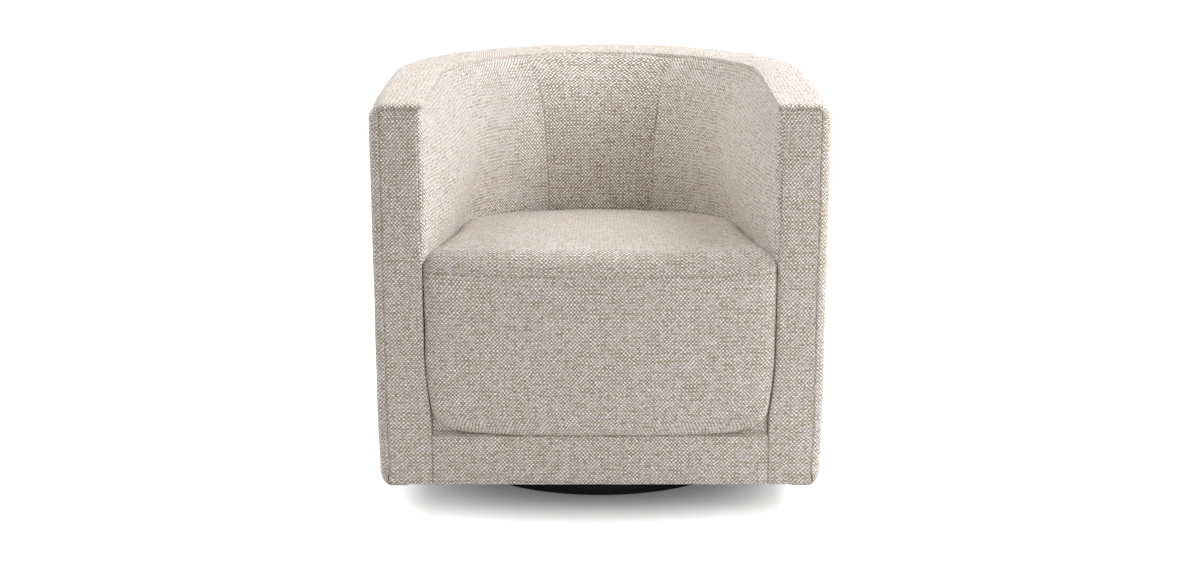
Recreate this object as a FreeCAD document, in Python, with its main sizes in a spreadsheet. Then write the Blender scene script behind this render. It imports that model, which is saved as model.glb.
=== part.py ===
import FreeCAD, Part
import math
import os
import re
import Sketcher

# Swivel tub chair: a padded drum with a low round base that it turns on.
# The origin is on the floor, on the swivel axis; the chair faces -Y and +Z is up.

V = FreeCAD.Vector
doc = FreeCAD.newDocument("TubChair")
sheet = doc.addObject("Spreadsheet::Sheet", "Sizes")

# Driving dimensions in millimetres
SIZES = {
    # Body outline
    "chair_width": 780,
    "side_length": 400,
    "chair_height": 735,
    "floor_gap": 58,
    "rim_width": 90,
    "seat_proud": 6,
    "rim_bevel": 18,
    "foot_bevel": 18,
    "front_bevel": 9,
    "face_inset": 16,
    # Layers
    "cover_thickness": 3,
    "skin_gap": 0.3,
    "edge_margin": 2,
    "cut_margin": 10,
    "board_thickness": 3,
    "rim_pad": 15,
    "front_pad": 10,
    # Sewn panels
    "band_drop": 40,
    "turn_under": 55,
    "back_panel_half": 230,
    "lining_cloth_thickness": 1,
    # Inside lining: how far each arm swells inwards, and where its straight run ends
    "waist_height": 459,
    "waist_swell": 34,
    "rim_swell": 2,
    "belly_rise": 42,
    "waist_turn": 12,
    "belly_turn": 45,
    "back_swell": 10,
    # Seat
    "seat_bottom": 154,
    "seat_front_top": 472,
    "seat_back_top": 424,
    "seat_crown": 14,
    "seat_dome": 4,
    "seat_side_radius": 26,
    "seat_corner_radius": 34,
    "seat_nose_radius": 30,
    "seat_seam_height": 441,
    "seat_side_drop": 30,
    "apron_pad": 44,
    # Timber frame
    "hoop_width": 45,
    "ply_thickness": 18,
    "rail_thickness": 25,
    "bottom_rail_height": 76,
    "seat_rail_height": 62,
    "seat_deck": 303,
    "post_depth": 60,
    "back_post_width": 40,
    "cross_rail_width": 70,
    "cross_rail_height": 30,
    "cross_rail_offset": 120,
    "corner_block_leg": 62,
    # Webbing and deck
    "web_width": 60,
    "web_thickness": 2,
    "web_landing": 30,
    "web_pitch": 95,
    "web_rail_gap": 18,
    "web_back_row": 95,
    "back_web_width": 50,
    "deck_pad": 5,
    # Swivel base
    "glide_height": 4,
    "glide_radius": 14,
    "glide_inset": 22,
    "disc_radius": 295,
    "disc_thickness": 24,
    "disc_bevel": 4,
    "plate_side": 300,
    "plate_corner": 20,
    "plate_thickness": 3,
    "dish_radius": 84,
    "race_radius": 68,
    "roller_radius": 4,
    "roller_length": 13,
    "cage_width": 20,
    "cage_thickness": 2.4,
    "pin_radius": 8,
    "running_clearance": 0.06,
    "pin_head_radius": 15,
    "pin_head_height": 3.5,
    "screw_offset": 125,
    "screw_radius": 2.5,
    "screw_head_radius": 6,
    "screw_head_height": 4,
    "screw_length": 18,
}
ROLLER_COUNT = 6
GLIDE_COUNT = 6
GLIDE_SIDES = 8
SCREW_SIDES = 6
CAGE_SIDES = 12
LONG_WEB_ROWS = (-2, -1, 0, 1, 2)
CROSS_WEB_COUNT = 5
BACK_WEB_ANGLES = (15, 45, 75, 105, 135, 165)
BACK_POST_ANGLES = (30, 60, 90, 120, 150)
QUARTER_TURN = 90
LINING_BANDS = 3
# Each back seam's place, as shares of the rim's inner radius
WAIST_SEAM_SHARE = 0.33
RIM_SEAM_SHARE = 0.523
WAIST_DEPTH_SHARE = 0.64

for row, (alias, size) in enumerate(SIZES.items(), start=1):
    sheet.set(f"A{row}", alias)
    sheet.set(f"B{row}", str(size))
    sheet.setAlias(f"B{row}", alias)
doc.recompute()

# Places worked out from the driving dimensions
OUTER = "(chair_width / 2)"
BODY_DEPTH = f"(side_length + {OUTER})"
BACK = f"(({BODY_DEPTH} + seat_proud) / 2)"
CENTRE = f"({BACK} - {OUTER})"
FRONT = f"({CENTRE} - side_length)"
SEAT_FRONT = f"({FRONT} - seat_proud)"
RIM_INNER = f"({OUTER} - rim_width)"
UNDER_COVER = "(cover_thickness + skin_gap)"
FRAME_INSET = f"({UNDER_COVER} + board_thickness + skin_gap)"
FRAME_OUTER = f"({OUTER} - {FRAME_INSET})"
FRAME_INNER = f"({FRAME_OUTER} - hoop_width)"
FRAME_BOTTOM = f"(floor_gap + {UNDER_COVER})"
FRAME_TOP = f"(chair_height - {UNDER_COVER} - rim_pad - skin_gap)"
FRAME_FRONT = f"({FRONT} + {UNDER_COVER} + front_pad + skin_gap)"
STRAP_REACH = f"(sqrt({FRAME_INNER} ^ 2 - (back_web_width / 2) ^ 2) - web_thickness - skin_gap)"
CUSHION_OUTER = f"({STRAP_REACH} - skin_gap)"
CUSHION_FOOT = "(seat_deck + 2 * web_thickness + deck_pad + 3 * skin_gap)"
RIM_LEVEL = f"(chair_height - {UNDER_COVER})"
APRON_BACK = f"({SEAT_FRONT} + {UNDER_COVER} + apron_pad)"
DISC_TOP = "(glide_height + disc_thickness)"
RACE_LEVEL = f"(({DISC_TOP} + {FRAME_BOTTOM}) / 2)"
DISH_HEIGHT = f"(({FRAME_BOTTOM} - {DISC_TOP}) / 2 - roller_radius - skin_gap)"
# A 45 degree bevel that is set in by a layer gets shorter by this share of the layer
BEVEL_SHARE = "(2 - sqrt(2))"
WAIST_SEAM = f"({WAIST_SEAM_SHARE} * {RIM_INNER})"
RIM_SEAM = f"({RIM_SEAM_SHARE} * {RIM_INNER})"
WAIST_SEAM_BACK = f"({CENTRE} + {WAIST_DEPTH_SHARE} * {RIM_INNER})"
# Tools that cut reach past the piece by one or two margins
AHEAD = f"({FRONT} - cut_margin)"
FAR_AHEAD = f"({FRONT} - 2 * cut_margin)"


def bound(text):
    """Prefixes each size in a formula with the name of the sheet."""
    return re.sub(r"\b(" + "|".join(SIZES) + r")\b", r"Sizes.\1", text)


def value(text):
    return float(sheet.evalExpression(bound(text)))


def bind(thing, prop, text):
    thing.setExpression(prop, bound(text))


def around(count):
    """Evenly spaced angles of a full turn, in degrees."""
    return [index * 360 / count for index in range(count)]


# Sketches and solids

def origin_plane(body, role):
    return [feature for feature in body.Origin.OriginFeatures if feature.Role == role][0]


def new_body(name):
    return doc.addObject("PartDesign::Body", name)


def new_sketch(body, name, plane, level="0"):
    sketch = body.newObject("Sketcher::SketchObject", name)
    sketch.AttachmentSupport = [(origin_plane(body, plane), "")]
    sketch.MapMode = "FlatFace"
    bind(sketch, "AttachmentOffset.Base.z", level)
    return sketch


def arc_between(start, end, radius, turn):
    """The short arc from start to end, with its centre on the left for turn 1 and on the right for -1."""
    middle = (start + end) / 2
    chord = end - start
    rise = math.sqrt(radius ** 2 - (chord.Length / 2) ** 2)
    left = V(-chord.y, chord.x, 0).normalize()
    centre = middle + left * (rise * turn)
    first = math.atan2(start.y - centre.y, start.x - centre.x)
    last = math.atan2(end.y - centre.y, end.x - centre.x)
    if turn < 0:
        first, last = last, first
    return Part.ArcOfCircle(Part.Circle(centre, V(0, 0, 1), radius), first, last)


def place_point(sketch, curve, vertex, across, along):
    """Dimensions a point of the outline from the sketch's origin."""
    for kind, text in (("DistanceX", across), ("DistanceY", along)):
        index = sketch.addConstraint(Sketcher.Constraint(kind, -1, 1, curve, vertex, value(text)))
        bind(sketch, f"Constraints[{index}]", text)


def add_outline(sketch, corners):
    """Closes a loop through corners (x, y) or (x, y, radius, turn), where the last two bend the edge that follows."""
    first = sketch.GeometryCount
    points = [V(value(corner[0]), value(corner[1]), 0) for corner in corners]
    count = len(corners)
    starts = []
    for index, corner in enumerate(corners):
        start, end = points[index], points[(index + 1) % count]
        if len(corner) == 2:
            sketch.addGeometry(Part.LineSegment(start, end))
            starts.append(1)
        else:
            sketch.addGeometry(arc_between(start, end, value(corner[2]), corner[3]))
            starts.append(1 if corner[3] > 0 else 2)
    for index in range(count):
        following = (index + 1) % count
        sketch.addConstraint(Sketcher.Constraint(
            "Coincident", first + index, 3 - starts[index], first + following, starts[following]))
    for index, corner in enumerate(corners):
        place_point(sketch, first + index, starts[index], corner[0], corner[1])
        if len(corner) > 2:
            radius = sketch.addConstraint(Sketcher.Constraint("Radius", first + index, value(corner[2])))
            bind(sketch, f"Constraints[{radius}]", corner[2])


def add_circle(sketch, across, along, radius):
    centre = V(value(across), value(along), 0)
    curve = sketch.GeometryCount
    sketch.addGeometry(Part.Circle(centre, V(0, 0, 1), value(radius)))
    place_point(sketch, curve, 3, across, along)
    index = sketch.addConstraint(Sketcher.Constraint("Radius", curve, value(radius)))
    bind(sketch, f"Constraints[{index}]", radius)


def add_polygon(sketch, across, along, radius, sides):
    """A regular loop with one corner towards +X."""
    corners = []
    for angle in around(sides):
        corner_x, corner_y = math.cos(math.radians(angle)), math.sin(math.radians(angle))
        corners.append((f"{across} + {radius} * {corner_x:.6f}", f"{along} + {radius} * {corner_y:.6f}"))
    add_outline(sketch, corners)


def outline_sketch(body, name, plane, corners, level="0"):
    sketch = new_sketch(body, name, plane, level)
    add_outline(sketch, corners)
    return sketch


def pad(body, name, sketch, length, down=False):
    feature = body.newObject("PartDesign::Pad", name)
    feature.Profile = sketch
    bind(feature, "Length", length)
    feature.Reversed = down
    return feature


def pocket(body, name, sketch, depth, up=False):
    """Cuts away from the sketch's plane, and proves that it met the solid."""
    doc.recompute()
    before = body.Shape.Volume
    feature = body.newObject("PartDesign::Pocket", name)
    feature.Profile = sketch
    bind(feature, "Length", depth)
    feature.Reversed = up
    doc.recompute()
    if body.Shape.Volume > before - 1:
        raise RuntimeError(f"{name} cuts nothing")
    return feature


def revolve(body, name, sketch, angle=360):
    feature = body.newObject("PartDesign::Revolution", name)
    feature.Profile = sketch
    feature.ReferenceAxis = (sketch, ["V_Axis"])
    feature.Angle = angle
    return feature


def bevel_edges(body, name, size, wanted):
    """Chamfers the edges of the body's tip that the wanted function picks."""
    doc.recompute()
    base = body.Tip
    names = [f"Edge{index}" for index, edge in enumerate(base.Shape.Edges, start=1) if wanted(edge)]
    feature = body.newObject("PartDesign::Chamfer", name)
    feature.Base = (base, names)
    bind(feature, "Size", size)
    return feature


def lies_at(edge, level):
    return abs(edge.BoundBox.ZMin - level) < NEAR and abs(edge.BoundBox.ZMax - level) < NEAR


def prism(name, corners, bottom, top):
    body = new_body(name)
    sketch = outline_sketch(body, name + "Outline", "XY_Plane", corners, bottom)
    pad(body, name + "Pad", sketch, f"({top}) - ({bottom})")
    return body


def turned(name, corners):
    """A body turned about the swivel axis from half its section."""
    body = new_body(name)
    sketch = outline_sketch(body, name + "Section", "XZ_Plane", corners)
    revolve(body, name + "Turn", sketch)
    return body


def bar(name, sides, radius, foot, height):
    """An upright bar with a regular outline, on the swivel axis."""
    piece = doc.addObject("Part::Prism", name)
    piece.Polygon = sides
    bind(piece, "Circumradius", radius)
    bind(piece, "Height", height)
    bind(piece, "Placement.Base.z", foot)
    return piece


def box(name, low, high):
    shape = doc.addObject("Part::Box", name)
    for prop, start, end, axis in zip(("Length", "Width", "Height"), low, high, "xyz"):
        bind(shape, prop, f"({end}) - ({start})")
        bind(shape, f"Placement.Base.{axis}", start)
    return shape


def cut(name, base, tool):
    result = doc.addObject("Part::Cut", name)
    result.Base = base
    result.Tool = tool
    return result


def common(name, shapes):
    result = doc.addObject("Part::MultiCommon", name)
    result.Shapes = shapes
    return result


def fuse(name, shapes):
    result = doc.addObject("Part::MultiFuse", name)
    result.Shapes = shapes
    return result


def compound(name, shapes):
    result = doc.addObject("Part::Compound", name)
    result.Links = shapes
    return result


def mirrored(name, source):
    """The same piece on the other side of the chair."""
    result = doc.addObject("Part::Mirroring", name)
    result.Source = source
    result.Base = V(0, 0, 0)
    result.Normal = V(1, 0, 0)
    return result


def moved_up(thing, level):
    bind(thing, "Placement.Base.z", level)
    return thing


NODES = []
NEAR = 0.01


def node(name, thing):
    """Names a finished piece, which is written to its own file."""
    thing.Label = name
    NODES.append(thing)
    return thing


# Plan outlines

def rectangle(left, front, right, back):
    return [(left, front), (right, front), (right, back), (left, back)]


def tub_plan(radius, front):
    """A straight-sided outline with a half-round back."""
    return [
        (f"-{radius}", front),
        (radius, front),
        (radius, CENTRE, radius, 1),
        ("0", f"{CENTRE} + {radius}", radius, 1),
        (f"-{radius}", CENTRE),
    ]


def hoop_plan(outer, inner, front):
    """A U-shaped band, open at the front."""
    return [
        (inner, front),
        (outer, front),
        (outer, CENTRE, outer, 1),
        ("0", f"{CENTRE} + {outer}", outer, 1),
        (f"-{outer}", CENTRE),
        (f"-{outer}", front),
        (f"-{inner}", front),
        (f"-{inner}", CENTRE, inner, -1),
        ("0", f"{CENTRE} + {inner}", inner, -1),
        (inner, CENTRE),
    ]


def arc_reach(radius, across):
    """How far back a circle about the drum's centre reaches at a distance across."""
    return f"({CENTRE} + sqrt(({radius}) ^ 2 - ({across}) ^ 2))"


def hoop(name, outer, inner, front, bottom, top):
    return prism(name, hoop_plan(outer, inner, front), bottom, top)


# Swivel base

def swivel_plate(name, bore):
    """A square plate with clipped corners and a round pressed dish, whose flat top is the race for the rollers."""
    half = "(plate_side / 2)"
    flat = f"({half} - plate_corner)"
    body = new_body(name)
    square = [
        (f"-{flat}", f"-{half}"),
        (flat, f"-{half}"),
        (half, f"-{flat}"),
        (half, flat),
        (flat, half),
        (f"-{flat}", half),
        (f"-{half}", flat),
        (f"-{half}", f"-{flat}"),
    ]
    pad(body, name + "Sheet", outline_sketch(body, name + "Square", "XY_Plane", square), "plate_thickness")
    opening = new_sketch(body, name + "Opening", "XY_Plane", "plate_thickness")
    add_circle(opening, "0", "0", "dish_radius - plate_thickness")
    pocket(body, name + "OpeningCut", opening, "plate_thickness")
    dish = [
        (bore, f"{DISH_HEIGHT} - plate_thickness"),
        ("dish_radius - plate_thickness", f"{DISH_HEIGHT} - plate_thickness"),
        ("dish_radius - plate_thickness", "0"),
        ("dish_radius", "0"),
        ("dish_radius", DISH_HEIGHT),
        (bore, DISH_HEIGHT),
    ]
    revolve(body, name + "Dish", outline_sketch(body, name + "DishSection", "XZ_Plane", dish))
    holes = new_sketch(body, name + "ScrewHoles", "XY_Plane", "plate_thickness")
    for across in ("screw_offset", "-screw_offset"):
        for along in ("screw_offset", "-screw_offset"):
            add_polygon(holes, across, along, "(screw_radius + skin_gap)", SCREW_SIDES)
    pocket(body, name + "ScrewCut", holes, "plate_thickness")
    return body


def plate_screws(name, seat, up):
    """Four hexagonal coach screws at the corners of a swivel plate, driven down or up."""
    screws = []
    for across in ("screw_offset", "-screw_offset"):
        for along in ("screw_offset", "-screw_offset"):
            index = len(screws)
            head_foot = f"{seat} - screw_head_height" if up else seat
            shank_foot = seat if up else f"{seat} - screw_length"
            head = bar(f"{name}Head{index}", SCREW_SIDES, "screw_head_radius", head_foot, "screw_head_height")
            shank = bar(f"{name}Shank{index}", SCREW_SIDES, "screw_radius", shank_foot, "screw_length")
            for piece in (head, shank):
                bind(piece, "Placement.Base.x", across)
                bind(piece, "Placement.Base.y", along)
            screws.append(fuse(f"{name}{index}", [head, shank]))
    return compound(name, screws)


def screw_holes(body, name, level, places, up):
    """Pilot holes for the plate's screws."""
    holes = new_sketch(body, name, "XY_Plane", level)
    for across, along in places:
        add_polygon(holes, across, along, "(screw_radius + skin_gap / 2)", SCREW_SIDES)
    pocket(body, name + "Cut", holes, "screw_length - plate_thickness + skin_gap", up)


def build_base():
    glides = []
    for angle in around(GLIDE_COUNT):
        glide = bar(f"Glide{len(glides)}", GLIDE_SIDES, "glide_radius", "0", "glide_height")
        reach = "(disc_radius - glide_inset)"
        bind(glide, "Placement.Base.x", f"{reach} * {math.cos(math.radians(angle)):.6f}")
        bind(glide, "Placement.Base.y", f"{reach} * {math.sin(math.radians(angle)):.6f}")
        glides.append(glide)
    node("floor_glides", compound("Glides", glides))

    disc = turned("BaseDisc", [
        ("0", "glide_height"),
        ("disc_radius", "glide_height"),
        ("disc_radius", f"{DISC_TOP} - disc_bevel"),
        ("disc_radius - disc_bevel", DISC_TOP),
        ("0", DISC_TOP),
    ])
    corners = [(x, y) for x in ("screw_offset", "-screw_offset") for y in ("screw_offset", "-screw_offset")]
    screw_holes(disc, "DiscPilots", DISC_TOP, corners, False)
    node("base_disc", disc)

    node("lower_swivel_plate", moved_up(swivel_plate("LowerPlate", "pin_radius"), DISC_TOP))
    node("lower_plate_screws", plate_screws("LowerScrews", f"({DISC_TOP} + plate_thickness)", False))

    # Kingpin: a bolt headed under the lower plate, with a nut above the upper one
    lower_face = f"({RACE_LEVEL} - roller_radius - skin_gap - plate_thickness)"
    upper_face = f"({RACE_LEVEL} + roller_radius + plate_thickness + 2 * skin_gap)"
    shank = doc.addObject("Part::Cylinder", "PinShank")
    bind(shank, "Radius", "pin_radius")
    bind(shank, "Height", f"{upper_face} - {lower_face}")
    bind(shank, "Placement.Base.z", lower_face)
    head = bar("PinHead", SCREW_SIDES, "pin_head_radius", f"{lower_face} - pin_head_height", "pin_head_height")
    nut = bar("PinNut", SCREW_SIDES, "pin_head_radius", upper_face, "pin_head_height")
    node("swivel_kingpin", fuse("Kingpin", [head, shank, nut]))


def build_bearing():
    """Ring of rollers between the two plates, held apart by a flat twelve-sided cage."""
    cage = new_body("RollerCage")
    ring = new_sketch(cage, "CageRing", "XY_Plane", f"{RACE_LEVEL} - cage_thickness / 2")
    add_polygon(ring, "0", "0", "(race_radius + cage_width / 2)", CAGE_SIDES)
    add_polygon(ring, "0", "0", "(race_radius - cage_width / 2)", CAGE_SIDES)
    pad(cage, "CagePad", ring, "cage_thickness")
    half_length = "(roller_length / 2 + skin_gap)"
    half_width = "(roller_radius + skin_gap)"
    window = outline_sketch(cage, "RollerWindow", "XY_Plane", rectangle(
        f"race_radius - {half_length}", f"-{half_width}", f"race_radius + {half_length}", half_width),
        f"{RACE_LEVEL} + cage_thickness / 2")
    first = pocket(cage, "RollerSlot", window, "cage_thickness")
    slots = cage.newObject("PartDesign::PolarPattern", "RollerSlots")
    slots.Originals = [first]
    slots.Axis = (ring, ["N_Axis"])
    slots.Angle = 360
    slots.Occurrences = ROLLER_COUNT
    cage.Tip = slots
    node("roller_cage", cage)

    rollers = []
    for angle in around(ROLLER_COUNT):
        roller = doc.addObject("Part::Cylinder", f"Roller{len(rollers)}")
        bind(roller, "Radius", "roller_radius")
        bind(roller, "Height", "roller_length")
        lying = FreeCAD.Rotation(V(0, 1, 0), QUARTER_TURN)
        roller.Placement.Rotation = FreeCAD.Rotation(V(0, 0, 1), angle).multiply(lying)
        start = "(race_radius - roller_length / 2)"
        bind(roller, "Placement.Base.x", f"{start} * {math.cos(math.radians(angle)):.6f}")
        bind(roller, "Placement.Base.y", f"{start} * {math.sin(math.radians(angle)):.6f}")
        bind(roller, "Placement.Base.z", RACE_LEVEL)
        rollers.append(roller)
    node("bearing_rollers", compound("Rollers", rollers))


def build_upper_swivel():
    upper = swivel_plate("UpperPlate", "(pin_radius + running_clearance)")
    upper.Placement = FreeCAD.Placement(V(0, 0, 0), FreeCAD.Rotation(V(1, 0, 0), 180))
    node("upper_swivel_plate", moved_up(upper, FRAME_BOTTOM))
    node("upper_plate_screws", plate_screws("UpperScrews", f"({FRAME_BOTTOM} - plate_thickness)", True))


# Timber frame

def place_upright(piece, angle, reach, width, level):
    """Stands a box on the drum's curve, square to the radius at an angle from +X."""
    across, along = math.cos(math.radians(angle)), math.sin(math.radians(angle))
    piece.Placement.Rotation = FreeCAD.Rotation(V(0, 0, 1), angle - QUARTER_TURN)
    half = f"({width} / 2)"
    bind(piece, "Placement.Base.x", f"{reach} * {across:.6f} - {half} * {along:.6f}")
    bind(piece, "Placement.Base.y", f"{CENTRE} + {reach} * {along:.6f} + {half} * {across:.6f}")
    bind(piece, "Placement.Base.z", level)


def build_frame():
    hoop_top = f"({FRAME_BOTTOM} + ply_thickness)"
    bottom = hoop("BottomHoop", FRAME_OUTER, FRAME_INNER, FRAME_FRONT, FRAME_BOTTOM, hoop_top)
    inner_reach = value(FRAME_INNER)

    def is_outer_foot(edge):
        long_enough = edge.Length > 2 * value("hoop_width")
        middle = edge.valueAt((edge.FirstParameter + edge.LastParameter) / 2)
        off_centre = math.hypot(middle.x, max(0, middle.y - value(CENTRE)))
        return lies_at(edge, value(FRAME_BOTTOM)) and long_enough and off_centre > inner_reach + 1

    bevel_edges(bottom, "BottomHoopBevel", f"foot_bevel - {BEVEL_SHARE} * {FRAME_INSET}", is_outer_foot)
    node("bottom_hoop", bottom)
    seat_outer = f"({FRAME_INNER} - skin_gap)"
    seat_inner = f"({seat_outer} - hoop_width)"
    rail_back = f"({APRON_BACK} + skin_gap + rail_thickness)"
    node("seat_hoop", hoop("SeatHoop", seat_outer, seat_inner, rail_back,
                           "seat_deck - ply_thickness", "seat_deck"))
    top = hoop("TopHoop", FRAME_OUTER, FRAME_INNER, FRAME_FRONT, f"{FRAME_TOP} - ply_thickness", FRAME_TOP)
    node("top_hoop", top)

    node("front_bottom_rail", box("BottomRail",
         (f"-{FRAME_INNER}", FRAME_FRONT, FRAME_BOTTOM),
         (FRAME_INNER, f"{FRAME_FRONT} + rail_thickness", f"{FRAME_BOTTOM} + bottom_rail_height")))
    node("front_seat_rail", box("SeatRail",
         (f"-{seat_outer}", f"{APRON_BACK} + skin_gap", "seat_deck - seat_rail_height"),
         (seat_outer, rail_back, "seat_deck")))

    right_post = box("RightPost",
                     (FRAME_INNER, FRAME_FRONT, hoop_top),
                     (FRAME_OUTER, f"{FRAME_FRONT} + post_depth", f"{FRAME_TOP} - ply_thickness"))
    node("right_arm_post", right_post)
    node("left_arm_post", mirrored("LeftPost", right_post))

    # Each back post is as deep as fits between the hoop's two curves
    posts = []
    post_front = f"({FRAME_INNER} + skin_gap)"
    post_thickness = f"sqrt(({FRAME_OUTER} - skin_gap) ^ 2 - (back_post_width / 2) ^ 2) - {post_front}"
    for angle in BACK_POST_ANGLES:
        post = doc.addObject("Part::Box", f"BackPost{angle}")
        bind(post, "Length", "back_post_width")
        bind(post, "Width", post_thickness)
        bind(post, "Height", f"{FRAME_TOP} - ply_thickness - {hoop_top}")
        place_upright(post, angle, post_front, "back_post_width", hoop_top)
        posts.append(post)
    node("back_posts", compound("BackPosts", posts))

    # Two rails carry the swivel plate from the front rail to the curved back of the bottom hoop
    inner_edge = "(cross_rail_offset - cross_rail_width / 2)"
    outer_edge = "(cross_rail_offset + cross_rail_width / 2)"
    rail_front = f"({FRAME_FRONT} + rail_thickness)"
    rail = prism("RightCrossRail", [
        (inner_edge, rail_front),
        (outer_edge, rail_front),
        (outer_edge, arc_reach(FRAME_INNER, outer_edge), FRAME_INNER, 1),
        (inner_edge, arc_reach(FRAME_INNER, inner_edge)),
    ], FRAME_BOTTOM, f"{FRAME_BOTTOM} + cross_rail_height")
    places = [("screw_offset", "screw_offset"), ("screw_offset", "-screw_offset")]
    screw_holes(rail, "RailPilots", FRAME_BOTTOM, places, True)
    node("swivel_cross_rails", compound("CrossRails", [rail, mirrored("LeftCrossRail", rail)]))

    block = prism("RightBlock", [
        (f"{FRAME_INNER} - corner_block_leg", rail_front),
        (FRAME_INNER, rail_front),
        (FRAME_INNER, f"{rail_front} + corner_block_leg"),
    ], FRAME_BOTTOM, hoop_top)
    node("corner_blocks", compound("Blocks", [block, mirrored("LeftBlock", block)]))

    board = hoop("OuterBoard", f"({OUTER} - {UNDER_COVER})", f"({OUTER} - {UNDER_COVER} - board_thickness)",
                 FRAME_FRONT, "floor_gap + foot_bevel + cover_thickness",
                 "chair_height - rim_bevel - cover_thickness")
    node("outer_board", board)


def build_webbing():
    landing = f"({FRAME_INNER} - skin_gap - hoop_width + web_landing)"
    rail_middle = f"({APRON_BACK} + skin_gap + edge_margin)"
    straps = []
    for row in LONG_WEB_ROWS:
        middle = f"({row} * web_pitch)"
        far_edge = f"(abs({middle}) + web_width / 2)"
        straps.append(box(f"LongWeb{len(straps)}",
                          (f"{middle} - web_width / 2", rail_middle, "seat_deck"),
                          (f"{middle} + web_width / 2", arc_reach(landing, far_edge),
                           "seat_deck + web_thickness")))
    node("seat_webbing_long", compound("LongWebs", straps))
    straps = []
    cross_level = "seat_deck + web_thickness"
    first_row = f"({APRON_BACK} + skin_gap + rail_thickness + web_rail_gap + web_width / 2)"
    last_row = f"({CENTRE} + web_back_row)"
    for row in range(CROSS_WEB_COUNT):
        share = row / (CROSS_WEB_COUNT - 1)
        middle = f"({first_row} * {1 - share} + {last_row} * {share})"
        overrun = f"max(0; {middle} - {CENTRE} + web_width / 2)"
        reach = f"sqrt(({landing}) ^ 2 - ({overrun}) ^ 2)"
        straps.append(box(f"CrossWeb{len(straps)}",
                          (f"-{reach}", f"{middle} - web_width / 2", cross_level),
                          (reach, f"{middle} + web_width / 2", f"{cross_level} + web_thickness")))
    node("seat_webbing_cross", compound("CrossWebs", straps))
    straps = []
    for angle in BACK_WEB_ANGLES:
        strap = doc.addObject("Part::Box", f"BackWeb{angle}")
        bind(strap, "Length", "back_web_width")
        bind(strap, "Width", "web_thickness")
        bind(strap, "Height", f"{FRAME_TOP} - seat_deck - skin_gap")
        place_upright(strap, angle, STRAP_REACH, "back_web_width", "seat_deck")
        straps.append(strap)
    node("back_webbing", compound("BackWebs", straps))


# Padding and covers of the drum

def body_block(name, inset):
    """The whole outside of the drum, set in by a layer, with its rim, foot and front corners bevelled."""
    radius = f"({OUTER} - {inset})"
    body = prism(name, tub_plan(radius, f"{FRONT} + {inset}"), f"floor_gap + {inset}", f"chair_height - {inset}")
    front = value(f"{FRONT} + {inset}")
    top, bottom = value(f"chair_height - {inset}"), value(f"floor_gap + {inset}")

    def behind(edge, level):
        return lies_at(edge, level) and edge.BoundBox.YMax > front + NEAR

    def is_front(edge):
        return abs(edge.BoundBox.YMax - front) < NEAR and edge.BoundBox.ZLength > NEAR

    bevel_edges(body, name + "Rim", f"rim_bevel - {BEVEL_SHARE} * {inset}", lambda edge: behind(edge, top))
    bevel_edges(body, name + "Foot", f"foot_bevel - {BEVEL_SHARE} * {inset}", lambda edge: behind(edge, bottom))
    bevel_edges(body, name + "Front", f"front_bevel - {BEVEL_SHARE} * {inset}", is_front)
    return body


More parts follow.
